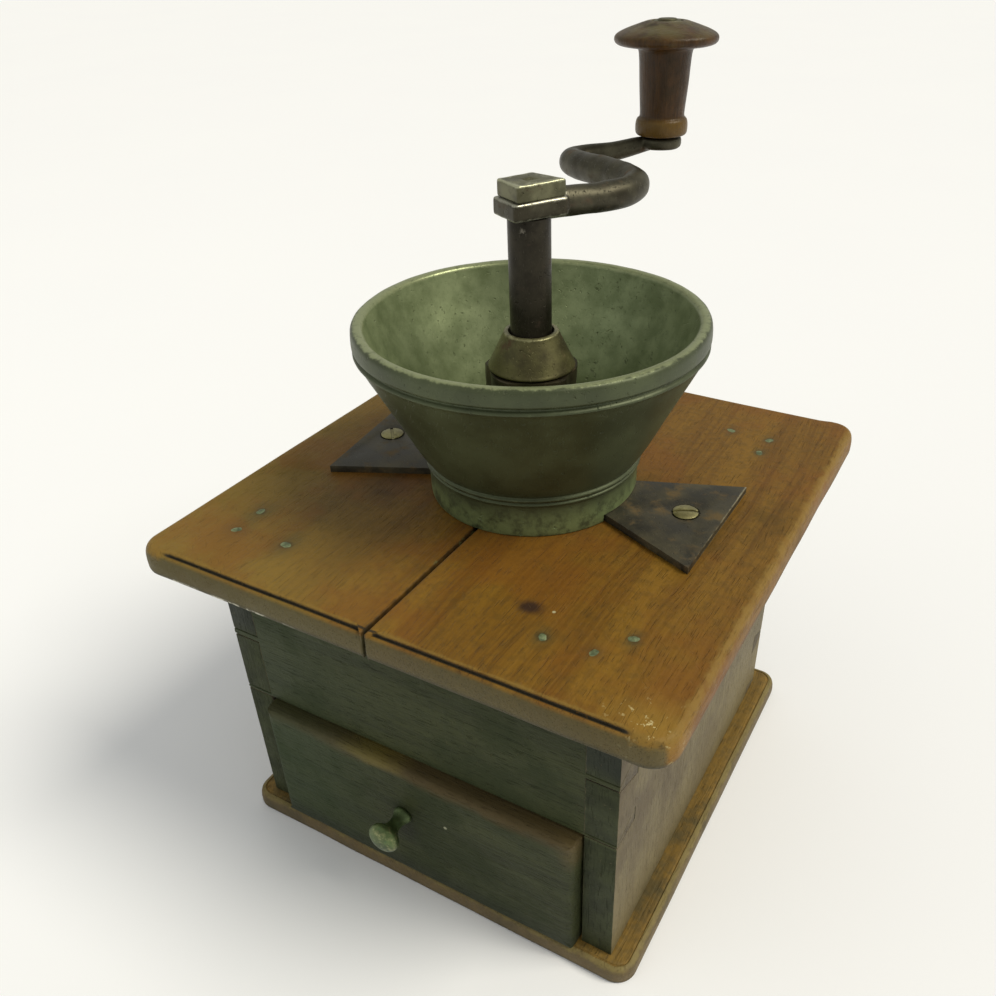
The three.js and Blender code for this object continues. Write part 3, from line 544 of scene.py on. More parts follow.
# Closeness to a box's edges: the second smallest of the three distances to its faces is small near an edge.
def boxEdge(tree, vector, low, high, reach):
    middle, half = (low + high) / 2 * mm, (high - low) / 2 * mm
    offset = vectorMath(tree, "SUBTRACT", vector, middle)
    away = vectorMath(tree, "ABSOLUTE", offset)
    inside = vectorMath(tree, "SUBTRACT", half, away)
    parts = partsOf(tree, inside)
    pairs = [math2(tree, "MAXIMUM", parts[a], parts[b]) for a, b in ((0, 1), (1, 2), (0, 2))]
    nearest = math2(tree, "MINIMUM", math2(tree, "MINIMUM", pairs[0], pairs[1]), pairs[2])
    return ranged(tree, nearest, 0.0, reach * mm, 1.0, 0.0)


# Old bare or stained wood. Grain runs along one axis; patina is the greasy dirt over it, rubbed is the paler
# wood that shows where hands and knocks have worn it away, and edge is a value near 1 along the arrises.
oakLooks = {"dark": (0.09, 0.05, 0.012), "light": (0.25, 0.155, 0.04), "pore": (0.03, 0.017, 0.006),
            "patina": (0.06, 0.052, 0.022), "patinaFrom": 0.50, "patinaTo": 0.72, "patinaScale": 26.0,
            "rubbed": (0.34, 0.22, 0.06), "edgeLevel": 0.55, "edgeShare": 0.85, "poreShare": 0.35,
            "scale": 1.0,
            "rough": 0.55, "depth": 0.2}


def agedWood(name, axis, looks, edge=None, extra=None):
    looks = {**oakLooks, **looks}
    material, tree, shader, vector = newMaterial(name)
    lengthwise = along(tree, vector, axis)
    grain = useGroup(tree, grainGroup, {"Vector": lengthwise, "Scale": looks["scale"]})
    colour = mixed(tree, grain["Figure"], looks["dark"], looks["light"])
    fine = times(tree, grain["Fibre"], 0.55)
    colour = mixed(tree, fine, colour, tuple(c * 1.25 for c in looks["light"]))
    colour = tinted(tree, colour, looks["pore"], grain["Pores"], looks["poreShare"])
    dirt = patches(tree, vector, looks["patinaScale"], looks["patinaFrom"], looks["patinaTo"])
    colour = tinted(tree, colour, looks["patina"], dirt, 0.85)
    mottled = patches(tree, vector, 330.0, 0.42, 0.66)
    colour = tinted(tree, colour, looks["patina"], mottled, 0.35)
    if extra:
        colour = extra(tree, vector, colour)
    if edge is None:
        edge = stored(tree, "wear")
    else:
        edge = edge(tree, vector)
    worn = rubbed(tree, vector, edge, looks["edgeLevel"])
    colour = tinted(tree, colour, looks["rubbed"], worn, looks["edgeShare"])
    scratches = noiseOf(tree, stretched(tree, addNode(tree, "Mapping", {
        "Vector": vector, "Rotation": (0.3, 0.2, 0.7)}).outputs[0], (30, 1500, 600)), 1.0, 2, 0.5)
    cuts = ranged(tree, scratches, 0.66, 0.74)
    colour = tinted(tree, colour, looks["rubbed"], cuts, 0.14)
    tree.links.new(colour, shader.inputs["Base Color"])
    rough = plus(tree, looks["rough"], times(tree, dirt, 0.18))
    tree.links.new(plus(tree, rough, times(tree, grain["Pores"], 0.15)),
                   shader.inputs["Roughness"])
    height = minus(tree, times(tree, grain["Fibre"], 0.5), grain["Pores"])
    height = minus(tree, height, times(tree, cuts, 0.6))
    height = plus(tree, height, times(tree, mottled, 0.4))
    bumped(tree, shader, height, looks["depth"] * mm)
    shader.inputs["Specular IOR Level"].default_value = 0.22
    return material


# Metal with a dull skin: two tones in blotches, bright rubbed arrises, rust or dirt in patches, fine
# scratches and small pits.
ironLooks = {"dark": (0.03, 0.028, 0.024), "light": (0.085, 0.078, 0.062), "rust": (0.10, 0.045, 0.018),
             "rustFrom": 0.58, "rustTo": 0.74, "rubbed": (0.32, 0.31, 0.26), "edgeLevel": 0.62,
             "metal": 0.75, "rough": 0.42, "blotch": 90.0, "pitScale": 900.0, "depth": 0.12}


def agedMetal(name, looks, edge=None, extra=None):
    looks = {**ironLooks, **looks}
    material, tree, shader, vector = newMaterial(name)
    broad = noiseOf(tree, vector, looks["blotch"], 5, 0.6)
    colour = mixed(tree, ranged(tree, broad, 0.34, 0.68), looks["dark"], looks["light"])
    rust = patches(tree, vector, looks["blotch"] * 1.7, looks["rustFrom"], looks["rustTo"])
    colour = tinted(tree, colour, looks["rust"], rust, 0.8)
    if extra:
        colour = extra(tree, vector, colour)
    edge = stored(tree, "wear") if edge is None else edge(tree, vector)
    worn = rubbed(tree, vector, edge, looks["edgeLevel"], 400.0)
    colour = mixed(tree, worn, colour, looks["rubbed"])
    fine = noiseOf(tree, stretched(tree, addNode(tree, "Mapping", {
        "Vector": vector, "Rotation": (0.5, 0.4, 0.9)}).outputs[0], (60, 2600, 900)), 1.0, 2, 0.5)
    cuts = ranged(tree, fine, 0.64, 0.72)
    colour = tinted(tree, colour, looks["rubbed"], cuts, 0.10)
    pits = ranged(tree, noiseOf(tree, vector, looks["pitScale"], 3, 0.6), 0.62, 0.76)
    colour = tinted(tree, colour, looks["dark"], pits, 0.35)
    tree.links.new(colour, shader.inputs["Base Color"])
    metal = minus(tree, looks["metal"], times(tree, rust, looks["metal"] * 0.8))
    tree.links.new(metal, shader.inputs["Metallic"])
    rough = plus(tree, looks["rough"], times(tree, rust, 0.3))
    rough = plus(tree, rough, times(tree, minus(tree, broad, 0.5), 0.35))
    tree.links.new(math2(tree, "SUBTRACT", rough, times(tree, worn, 0.12), True),
                   shader.inputs["Roughness"])
    height = minus(tree, times(tree, broad, 0.8), pits)
    height = minus(tree, height, times(tree, cuts, 0.4))
    bumped(tree, shader, height, looks["depth"] * mm)
    return material


def boxEdges(node, reach):  # wear along the edges of a node's box
    low, high = boxOf(node)
    return lambda tree, vector: boxEdge(tree, vector, low, high, reach)


def noEdges(tree, vector):  # scattered wear, for pieces that keep no wear value
    return patches(tree, vector, 120.0, 0.55, 0.8)


base = {"corner": 7.0, "edge": 2.2, "step": 0.5}
baseLooks = {"dark": (0.145, 0.088, 0.019), "light": (0.245, 0.15, 0.034), "patina": (0.075, 0.062, 0.028),
             "patinaScale": 38.0, "patinaFrom": 0.5, "patinaTo": 0.66, "rubbed": (0.21, 0.165, 0.06),
             "edgeLevel": 0.7, "poreShare": 0.2}


# The base is duller along its rim, and darker where it stands.
def baseExtra(tree, vector, colour):
    inward = stored(tree, "inward")
    rim = ranged(tree, inward, 1.2, 2.6, 1.0, 0.0)
    colour = tinted(tree, colour, (0.11, 0.09, 0.055), rim, 0.7)
    parts = partsOf(tree, vector)
    low = ranged(tree, parts[2], 0.2 * mm, 1.6 * mm, 1.0, 0.0)
    return tinted(tree, colour, (0.04, 0.035, 0.02), low, 0.7)


def makeBaseBoard():
    low, high = boxOf("base_board")
    half = (high - low)[:2] / 2
    outline = RoundedRectangle(half - 0.1, [base["corner"]] * 4, sidePoints=70)
    tall, edge, step = high[2] - low[2], base["edge"], base["step"]
    profile = [(0.9, 0, 0), (0.1, 0.2, 0.4), (0, 1.2, 0.35), (0, tall - edge - 0.6, 0.3),
               (0.5, tall - edge * 0.35, 0.8), (edge * 0.75, tall - 0.25, 1.0), (edge, tall - 0.12, 0.8),
               (edge + 0.1, tall - step, 0.1), (edge + 0.5, tall - step, 0), (edge + 0.7, tall - 0.12, 0.5),
               (edge + 2.5, tall - 0.1, 0)]
    weights = [np.ones(len(outline.angle))]
    piece = boardPiece("baseBoard", outline, [profile], weights, horizontal((low + high)[:2] / 2, low[2]),
                       (0.1, 45, 11))
    place(piece, "case", "base_board", "base_wood", agedWood("wornBase", "y", baseLooks, extra=baseExtra))


top = {"corner": 8.0, "edge": 2.4, "mouldingIn": 2.2, "mouldingDown": 1.1, "mouldingStop": 6.0,
       "jointMiddle": 1.25, "quirk": 2.4, "quirkLine": (0.3, 0.6), "hiddenCorner": 0.5,
       "haloRadii": (7.5, 4.6),  # round the front left nails, and round the others
       # painted shadows of the bowl, cast on the top to the left of its foot
       "bowlShadows": [((-37, -22, table), 17, (1.1, 0.8, 0.3), 0.9, (0.038, 0.020, 0.009), 0.75),
                  ((-44, -33, table), 24, (1.1, 0.8, 0.3), 0.9, (0.038, 0.020, 0.009), 0.4)],
       # the first mark is painted shade on the top under the bowl's overhang, fading out at the rim; the
       # second is a small dark stain
       "marks": [((millX, millY, table), 41, (1, 1, 0.2), 0.35, (0.035, 0.026, 0.012), 0.5),
                 ((35.6, -60.4, table), 4.6, (0.8, 1.25, 0.2), 0.7, (0.022, 0.012, 0.012), 0.85)],
       "cornerWear": ((84, -86, table), 13, (0.7, 0.9, 0.5), 0.9),
       "chip": ((42.5, -59.2, table), 0.6, (1, 1, 1), 0.3)}
topLooks = {"dark": (0.115, 0.050, 0.006), "light": (0.200, 0.104, 0.012), "pore": (0.05, 0.022, 0.005),
            "patina": (0.082, 0.048, 0.010), "patinaScale": 20.0, "patinaFrom": 0.52, "patinaTo": 0.72,
            "rubbed": (0.225, 0.135, 0.026), "edgeLevel": 0.62, "poreShare": 0.22, "rough": 0.52,
            "depth": 0.16}
top["front"] = boxOf("top_plank_left")[0][1]
nailPlaces = [sum(boxOf(f"top_nail_{i + 1}"))[:2] / 2 for i in range(12)]


# Ochre to the front left, dark rings round the nails, painted shadows of the bowl and painted shade under it,
# the dirt and old filler in the joint, rubbed corner and chip, dull nosing, flaked lower arris, and the
# painted shade line in the groove above the moulding.
def topExtra(tree, vector, colour):
    parts = partsOf(tree, vector)
    ochre = ranged(tree, plus(tree, parts[0], times(tree, parts[1], 0.6)), -0.02, -0.11, 0.0, 0.75)
    colour = mixed(tree, ochre, colour, (0.215, 0.142, 0.026))
    for index, (x, y) in enumerate(nailPlaces):
        halo = top["haloRadii"][0 if index < 3 else 1]
        colour = marked(tree, vector, colour, [
            ((x, y, table), halo, (1, 0.75, 0.3), 0.9, (0.062, 0.062, 0.026), 0.55),
            ((x, y, table), 2.7, (1, 1, 0.3), 0.6, (0.030, 0.030, 0.016), 0.6)])
    # painted shadows of the bowl on the top
    colour = marked(tree, vector, colour, top["bowlShadows"])
    reddish = patches(tree, vector, 26.0, 0.44, 0.62)
    colour = tinted(tree, colour, (0.185, 0.068, 0.009), reddish, 0.5)
    # the first of these marks is painted shade under the bowl
    colour = marked(tree, vector, colour, top["marks"])
    joint = awayFrom(tree, parts[0], top["jointMiddle"] * mm)
    ragged = plus(tree, joint, times(tree, noiseOf(tree, vector, 300.0, 3), 0.0012))
    seam = ranged(tree, ragged, 0.9 * mm, 1.9 * mm, 1.0, 0.0)
    colour = tinted(tree, colour, (0.022, 0.016, 0.008), seam, 0.9)
    beside = ranged(tree, ragged, 1.2 * mm, 2.2 * mm, 1.0, 0.0)
    filler = times(tree, beside, patches(tree, vector, 210.0, 0.55, 0.6))
    filler = times(tree, filler, ranged(tree, parts[1], -0.075, -0.05, 0.0, 0.8))
    colour = mixed(tree, filler, colour, (0.13, 0.14, 0.055))
    bright = spot(tree, vector, *top["cornerWear"])
    colour = tinted(tree, colour, (0.30, 0.18, 0.03), bright, 0.6)
    specks = times(tree, bright, patches(tree, vector, 500.0, 0.62, 0.66))
    colour = mixed(tree, specks, colour, (0.55, 0.45, 0.22))
    colour = mixed(tree, spot(tree, vector, *top["chip"]), colour, (0.42, 0.38, 0.22))
    nosing = ranged(tree, parts[2], (table - 1.0) * mm, (table - 2.2) * mm)
    front = times(tree, nosing, ranged(tree, parts[1], -0.0880, -0.0895))
    colour = tinted(tree, colour, (0.085, 0.078, 0.034), front, 0.8)
    under = ranged(tree, parts[2], (table - 6.5) * mm, (table - 8.6) * mm)
    colour = tinted(tree, colour, (0.05, 0.045, 0.025), under, 0.75)
    arris = ranged(tree, parts[2], (table - 7.6) * mm, (table - 8.2) * mm)
    flakes = times(tree, patches(tree, vector, 300.0, 0.50, 0.55), arris)
    flakes = times(tree, flakes, ranged(tree, parts[0], -0.02, -0.04))
    flakes = times(tree, flakes, ranged(tree, parts[1], -0.088, -0.090))
    colour = mixed(tree, flakes, colour, (0.5, 0.48, 0.38))
    # Painted shade in the narrow groove above the moulding, broken up by noise, and a painted shade line
    # where the groove ends beside the joint.
    grooveShade = times(tree, stored(tree, "quirk"), patches(tree, vector, 420.0, 0.22, 0.36))
    colour = mixed(tree, grooveShade, colour, (0.026, 0.021, 0.012))
    grooveShadeEnd = lineAt(tree, parts[1], top["front"] + top["quirk"], top["quirkLine"])
    grooveShadeEnd = times(tree, grooveShadeEnd, ranged(tree, joint, 5 * mm, 6 * mm, 0.9, 0.0))
    return mixed(tree, grooveShadeEnd, colour, (0.026, 0.021, 0.012))


def topPlank(node, name, outer, seed, material):
    low, high = boxOf(node)
    half = (high - low)[:2] / 2
    tall, edge = high[2] - low[2], top["edge"]
    inwards, down = top["mouldingIn"], top["mouldingDown"]
    free, hidden = top["corner"], top["hiddenCorner"]
    corners = [free, hidden, hidden, free] if outer < 0 else [hidden, free, free, hidden]
    outline = RoundedRectangle(half - 0.12, corners, sidePoints=110)
    moulded = [(1.6, 0, 0), (0.3, 0.5, 0.2), (0, 2.2, 0.1), (0, 4.6, 0.1), (0.5, tall - down - 0.9, 0.3),
               (1.3, tall - down - 0.1, 0.3), (inwards - 0.1, tall - down - 0.25, 0),
               (inwards + 0.15, tall - down - 0.5, 0),
               (inwards + 0.3, tall - 0.7, 0.5), (inwards + 0.5, tall - 0.12, 1),
               (inwards + 1.6, tall - 0.02, 0.4),
               (inwards + 5, tall, 0)]
    rounded = [(1.6, 0, 0), (0.4, 0.4, 0.3), (0, 1.6, 0.3), (0, 3.6, 0.3), (0, 5.0, 0.4),
               (0.25, tall - 2.4, 0.6),
               (0.7, tall - 1.3, 0.8), (1.3, tall - 0.6, 0.9), (1.9, tall - 0.25, 0.8),
               (edge, tall - 0.08, 0.7),
               (edge + 1.8, tall - 0.02, 0.3), (inwards + 5, tall, 0)]
    joint = [(0.3, 0, 0), (0.05, 0.3, 0), (0, 1.6, 0), (0, 3.6, 0), (0, 5, 0), (0, tall - 2, 0.1),
             (0, tall - 1.2, 0.2), (0.02, tall - 0.7, 0.4), (0.12, tall - 0.35, 0.6), (0.35, tall - 0.1, 0.6),
             (1.2, tall, 0.1), (inwards + 5, tall, 0)]
    joint = [(inset, z, wear * 0.25) for inset, z, wear in joint]
    nx, ny = outline.normal[:, 0], outline.normal[:, 1]
    reach = (outline.ring(0.0)[:, 0] * outer - (half[0] - top["mouldingStop"] - 4)) / -4
    kept = np.clip(np.where(outer * nx > -0.5, reach, 1), 0, 1) * (ny ** 2)
    joining = np.where(outer * nx < 0, nx ** 2, 0)
    weights = [kept, 1 - kept - joining, joining]
    piece = boardPiece(name, outline, [moulded, rounded, joint], weights,
                       horizontal((low + high)[:2] / 2, low[2]), (0.12, 38, seed), innerRows=12)
    addQuirkValue(piece, low, high, inwards, tall - down)
    holes = [(x, y, nail["hole"], low[2] - 1, table - 1) for x, y in nailPlaces if low[0] < x < high[0]]
    cutAway(piece, drillBits(holes))
    cutAway(piece, drillBits([(millX, millY, mill["topHole"], low[2] - 1, table + 1)], 64))
    place(piece, "case", node, "top_wood", material)


# A value of 1 on points that lie low in the narrow groove along the front and back edges, where the material
# paints shade.
def addQuirkValue(piece, low, high, inwards, level):
    points = pointsOf(piece.data) / mm
    fromEnd = np.minimum(points[:, 1] - low[1], high[1] - points[:, 1])
    near = np.clip(1 - np.abs(fromEnd - inwards - 0.2) / 0.75, 0, 1)
    deep = np.clip((high[2] - 0.35 - points[:, 2]) / 0.6, 0, 1) * (points[:, 2] > low[2] + level - 1.2)
    addValue(piece.data, "quirk", np.clip(near * deep * 1.6, 0, 1))


def makeTop():
    material = agedWood("scrubbedTop", "y", topLooks, extra=topExtra)
    topPlank("top_plank_left", "topPlankLeft", -1, 21, material)
    topPlank("top_plank_right", "topPlankRight", 1, 31, material)


nail = {"head": 2.55, "proud": 0.36, "headHeight": 1.1, "shank": 1.0, "hole": 1.25}
nailLooks = {"dark": (0.075, 0.095, 0.045), "light": (0.23, 0.28, 0.15), "rust": (0.05, 0.045, 0.02),
             "rubbed": (0.26, 0.30, 0.19), "metal": 0.2, "rough": 0.6, "blotch": 420.0, "depth": 0.15}


def makeNails():
    material = agedMetal("oldNails", nailLooks, noEdges)
    for index in range(12):
        low, high = boxOf(f"top_nail_{index + 1}")
        centre = (low + high) / 2
        radius, tall = nail["head"], high[2] - low[2]
        profile = np.array([(0.12, 0.02), (nail["shank"] * 0.9, 3.5), (nail["shank"], 5),
                            (nail["shank"], tall - 1.7),
                            (radius - 0.3, tall - nail["headHeight"]), (radius, tall - 0.75),
                            (radius - 0.1, tall - 0.4),
                            (radius * 0.6, tall - 0.12), (0.05, tall - 0.02)])
        profile = denser(profile, 1.5)
        grid = turnedGrid(profile, (centre[0], centre[1], low[2]), 24)
        angles = np.linspace(0, 2 * np.pi, 24, endpoint=False)
        isHead = profile[:, :1] > nail["shank"] + 0.1
        oval = 1 - 0.34 * (1 + np.cos(2 * angles + index * 1.7)) / 2 * isHead
        squeeze = oval * (1 + 0.05 * np.sin(5 * angles + index))
        grid[..., :2] = centre[:2] + (grid[..., :2] - centre[:2]) * squeeze[..., None]
        grid[..., 2] += np.where(profile[:, 1:2] > tall - 1.0, nail["proud"], 0)
        piece = gridPiece(f"topNail{index + 1}", grid, {"wear": 0.0})
        place(piece, "case", f"top_nail_{index + 1}", "nail_iron", material)


greenLooks = {"dark": (0.017, 0.021, 0.006), "light": (0.038, 0.044, 0.013), "pore": (0.014, 0.016, 0.006),
              "patina": (0.026, 0.034, 0.012), "patinaScale": 30.0, "patinaFrom": 0.46, "patinaTo": 0.66,
              "rubbed": (0.105, 0.08, 0.028), "edgeLevel": 0.9, "edgeShare": 0.6, "poreShare": 0.3,
              "rough": 0.58}
sideLooks = {"dark": (0.105, 0.082, 0.044), "light": (0.165, 0.138, 0.078), "pore": (0.05, 0.04, 0.022),
             "patina": (0.115, 0.093, 0.066), "patinaScale": 24.0, "patinaFrom": 0.45, "patinaTo": 0.7,
             "rubbed": (0.2, 0.165, 0.09), "edgeLevel": 1.0, "edgeShare": 0.5, "poreShare": 0.25,
             "rough": 0.6, "depth": 0.25}
bareLooks = {"dark": (0.16, 0.10, 0.04), "light": (0.30, 0.21, 0.10), "patina": (0.12, 0.085, 0.05),
             "rubbed": (0.36, 0.27, 0.15), "edgeLevel": 0.75, "rough": 0.65}


caseMarks = {"joint": 60.3, "jointLine": (0.5, 1.3), "split": 86.0, "splitLine": (0.3, 0.8)}  # millimetres


# The front ends of the side boards are dark green, so that colour takes over where a face looks forwards.
# Just under the top, painted shade darkens that green.
def sideExtra(tree, vector, colour):
    parts = partsOf(tree, vector)
    normal = faceNormal(tree)
    facing = ranged(tree, normal[1], -0.3, -0.8)
    mottled = noiseOf(tree, vector, 120.0, 4, 0.6)
    tone = mixed(tree, ranged(tree, mottled, 0.3, 0.7), (0.024, 0.029, 0.012), (0.046, 0.054, 0.023))
    # Painted shade under the overhang of the top: the forward faces darken from 86 mm upwards.
    upper = ranged(tree, parts[2], 0.086, 0.093)
    tone = tinted(tree, tone, (0.018, 0.022, 0.018), upper, 0.7)
    scrubbed = ranged(tree, plus(tree, parts[2], times(tree, mottled, 0.02)), 0.062, 0.016, 0.0, 0.6)
    colour = mixed(tree, scrubbed, colour, (0.205, 0.165, 0.078))
    colour = mixed(tree, facing, colour, tone)
    facing = times(tree, facing, ranged(tree, parts[0], -0.01, 0.01))
    line = times(tree, lineAt(tree, parts[2], caseMarks["joint"], caseMarks["jointLine"]), facing)
    colour = tinted(tree, colour, (0.075, 0.085, 0.035), line, 0.5)
    line = times(tree, lineAt(tree, parts[2], caseMarks["split"], caseMarks["splitLine"]), facing)
    return tinted(tree, colour, (0.010, 0.010, 0.008), line, 0.8)


# The ends of the dovetail pins show on the sides, and are as grey as the side boards round them.
def railExtra(tree, vector, colour):
    normal = faceNormal(tree)
    sideways = ranged(tree, math2(tree, "ABSOLUTE", normal[0]), 0.5, 0.9)
    mottled = noiseOf(tree, vector, 150.0, 4, 0.6)
    endGrain = mixed(tree, ranged(tree, mottled, 0.3, 0.7), (0.075, 0.058, 0.036), (0.145, 0.12, 0.075))
    parts = partsOf(tree, vector)
    blue = ranged(tree, parts[0], 0.0, -0.06, 0.0, 0.4)
    colour = mixed(tree, blue, colour, (0.030, 0.046, 0.018))
    return mixed(tree, sideways, colour, endGrain)


def makeCase():
    for side in ("left", "right"):
        node = f"side_board_{side}"
        piece = easedCopy(node, 0.5)
        material = agedWood(f"greySide{side.title()}", "z", sideLooks, boxEdges(node, 1.0), sideExtra)
        place(piece, "case", node, "case_wood", material)
    for node in ("front_rail", "back_board"):
        piece = easedCopy(node, 0.4)
        material = agedWood(f"greenCase{piece.name}", "x", greenLooks, boxEdges(node, 0.7), railExtra)
        place(piece, "case", node, "case_wood", material)


drawer = {"corner": 0.8, "topEdge": 2.6, "endEdge": 2.4, "footEdge": 1.0, "knobHole": 1.95,
          "marks": [((60, -80, 56), 9, (1, 0.2, 0.8), 0.9, (0.115, 0.082, 0.030), 0.7),
                    ((-16, -80, 58.5), 11, (0.62, 0.3, 2.4), 0.6, (0.15, 0.115, 0.025), 0.85),
                    ((-3.5, -80, 31), 8.5, (1.2, 0.2, 0.75), 0.9, (0.010, 0.010, 0.007), 0.7)],
          "fleck": ((13.2, -80, 40.5), 0.7, (1, 0.3, 1), 0.3),
          "knobProfile": [(0.2, 13.5), (2.6, 13.4), (4.6, 12.7), (5.5, 11.6), (5.6, 10.6), (5.1, 9.4),
                          (3.6, 8.2),
                          (2.5, 6.8), (2.2, 5.2), (2.3, 3.6), (2.7, 2.2), (3.4, 1.1), (3.4, 0.1), (1.7, 0.0),
                          (1.7, -15.2), (0.2, -15.3)]}
brassLooks = {"dark": (0.050, 0.075, 0.026), "light": (0.125, 0.175, 0.065), "rust": (0.05, 0.12, 0.055),
             "rubbed": (0.42, 0.40, 0.20), "edgeLevel": 0.7, "metal": 0.6, "rough": 0.4, "blotch": 160.0}


# The upper edge of the drawer front is bare, and it is bluer to the left and darker at its foot.
def drawerExtra(tree, vector, colour):
    parts = partsOf(tree, vector)
    swaying = times(tree, noiseOf(tree, vector, 60.0, 4), 0.008)
    band = ranged(tree, plus(tree, parts[2], swaying), 0.0575, 0.0625)
    colour = tinted(tree, colour, (0.085, 0.058, 0.022), band, 0.85)
    colour = marked(tree, vector, colour, drawer["marks"])
    blue = ranged(tree, parts[0], 0.0, -0.055, 0.0, 0.5)
    colour = mixed(tree, blue, colour, (0.032, 0.054, 0.020))
    low = ranged(tree, parts[2], 0.018, 0.008, 0.0, 0.6)
    colour = mixed(tree, low, colour, (0.022, 0.026, 0.016))
    return mixed(tree, spot(tree, vector, *drawer["fleck"]), colour, (0.3, 0.3, 0.2))


def makeDrawer():
    low, high = boxOf("drawer_front")
    half = np.array([high[0] - low[0], high[2] - low[2]]) / 2
    outline = RoundedRectangle(half - 0.08, [drawer["corner"]] * 4, sidePoints=100)
    deep = high[1] - low[1]

    def edgeProfile(size):
        return [(0.3, 0, 0), (0.02, 0.3, 0), (0, 2, 0), (0, deep * 0.5, 0), (0, deep - size - 0.4, 0.2),
                (size * 0.2, deep - size * 0.5, 0.35), (size * 0.5, deep - size * 0.2, 0.6),
                (size, deep - 0.05, 0.55), (size * 1.8, deep, 0.15), (size + 6, deep, 0)]

    nx, nz = outline.normal[:, 0], outline.normal[:, 1]
    weights = [np.where(nz > 0, nz ** 2, 0), np.where(nz < 0, nz ** 2, 0), nx ** 2]
    centre = (low + high) / 2

    def upright(flat):  # ring axes to X and Z, height to -Y
        return np.stack([flat[..., 0] + centre[0], high[1] - flat[..., 2], flat[..., 1] + centre[2]], axis=-1)

    profiles = [edgeProfile(drawer[key]) for key in ("topEdge", "footEdge", "endEdge")]
    piece = boardPiece("drawerFront", outline, profiles, weights, upright, (0.12, 30, 41), innerRows=14)
    knobLow, knobHigh = boxOf("drawer_knob")
    knobX, knobZ = (knobLow + knobHigh)[0] / 2, (knobLow + knobHigh)[2] / 2
    bit = drillBits([(0, 0, drawer["knobHole"], -20, 20)])
    lying = Matrix.Rotation(math.pi / 2, 4, "X")
    bit.data.transform(Matrix.Translation(Vector((knobX, -73, knobZ)) * mm) @ lying)
    cutAway(piece, bit)
    place(piece, "drawer", "drawer_front", "drawer_wood",
          agedWood("greenDrawer", "x", greenLooks, extra=drawerExtra))
    bare = agedWood("bareDrawerWood", "y", bareLooks, noEdges)
    bareAcross = agedWood("bareDrawerWoodAcross", "x", bareLooks, noEdges)
    for node, material in (("drawer_side_left", bare), ("drawer_back", bareAcross),
                           ("drawer_side_right", bare), ("drawer_bottom", bareAcross)):
        placeCopy(node, 0.3, "drawer", "bare_wood", material)
    face = low[1]
    wear = [0.6] * 7 + [0] * 9  # only the knob's face is rubbed
    profile = eased(np.c_[np.array(drawer["knobProfile"]), wear], 2)[::-1]
    grid = turnedGrid(profile, (0, 0, 0), 48)
    scale = (face - knobLow[1]) / 13.5
    stood = np.stack([grid[..., 0] + knobX, face - grid[..., 2] * scale, grid[..., 1] + knobZ], axis=-1)
    knob = gridPiece("drawerKnob", stood, {"wear": profile[:, 2:3]})
    place(knob, "drawer", "drawer_knob", "brass", agedMetal("tarnishedBrass", brassLooks))
    fittings = agedMetal("tarnishedBrassFittings", brassLooks, noEdges)
    placeCopy("drawer_knob_washer", 0.2, "drawer", "brass", fittings)


mill = {"topHole": 29.0, "foot": 34.3, "footWall": 3.2, "rings": 15.0, "ring": 35.3, "rim": 54.9, "wall": 4.4,
        "throat": 22.6, "floor": 9.5, "height": 58.6, "flange": 4.85, "boltHole": 2.5, "plateTop": 2.7,
        "flare": [(0.16, 0.1), (0.41, 0.333), (0.65, 0.55), (0.85, 0.725)],  # shares of the way out and up
        "ears": [[(18, -6.4), (70, -29), (70, 27.4), (18, 7.4)],
                 [(-18, 7.9), (-76, 26.6), (-70, -30.8), (-18, -6.9)]],
        "capProfile": [(6.6, 0.4, 0), (6.6, 0.05, 0), (13.2, 0.0, 0.2), (13.65, 0.25, 0.4), (13.6, 0.7, 0.3),
                       (13.0, 1.7, 0.1), (11.8, 4.2, 0.05), (10.4, 7.0, 0.05), (9.1, 9.7, 0.1),
                       (8.7, 10.6, 0.5),
                       (8.5, 11.2, 0.8), (7.9, 11.5, 0.8), (6.7, 11.4, 0.5), (6.6, 6.0, 0)]}
bowlLooks = {"dark": (0.044, 0.054, 0.024), "light": (0.078, 0.094, 0.044), "rust": (0.06, 0.066, 0.03),
             "rustFrom": 0.62, "rustTo": 0.85, "rubbed": (0.25, 0.28, 0.145), "edgeLevel": 0.68, "metal": 0.4,
             "rough": 0.45, "blotch": 42.0, "pitScale": 650.0, "depth": 0.2}


# The inside has been scoured paler than the outside, and the foot is scaly and paler still.
def bowlExtra(tree, vector, colour):
    inner = stored(tree, "inside")
    mottled = noiseOf(tree, vector, 130.0, 5, 0.62)
    tone = mixed(tree, ranged(tree, mottled, 0.3, 0.7), (0.165, 0.205, 0.092), (0.285, 0.335, 0.175))
    colour = tinted(tree, colour, tone, inner, 0.85)
    parts = partsOf(tree, vector)
    low = ranged(tree, parts[2], (table + 12) * mm, (table + 3) * mm)
    scaly = times(tree, low, patches(tree, vector, 260.0, 0.32, 0.6))
    return tinted(tree, colour, (0.23, 0.29, 0.125), scaly, 0.8)


def prism(outline, low, high):  # a straight-sided solid on an outline that runs anticlockwise
    outline = np.array(outline, float)
    if np.sum(outline[:, 0] * np.roll(outline[:, 1], -1) - outline[:, 1] * np.roll(outline[:, 0], -1)) < 0:
        outline = outline[::-1]
    count = len(outline)
    points = np.vstack([np.c_[outline, np.full(count, low)], np.c_[outline, np.full(count, high)]])
    faces = [[i, (i + 1) % count, (i + 1) % count + count, i + count] for i in range(count)]
    return meshPiece("prism", points, faces + [list(range(count))[::-1], list(range(count, 2 * count))], {})


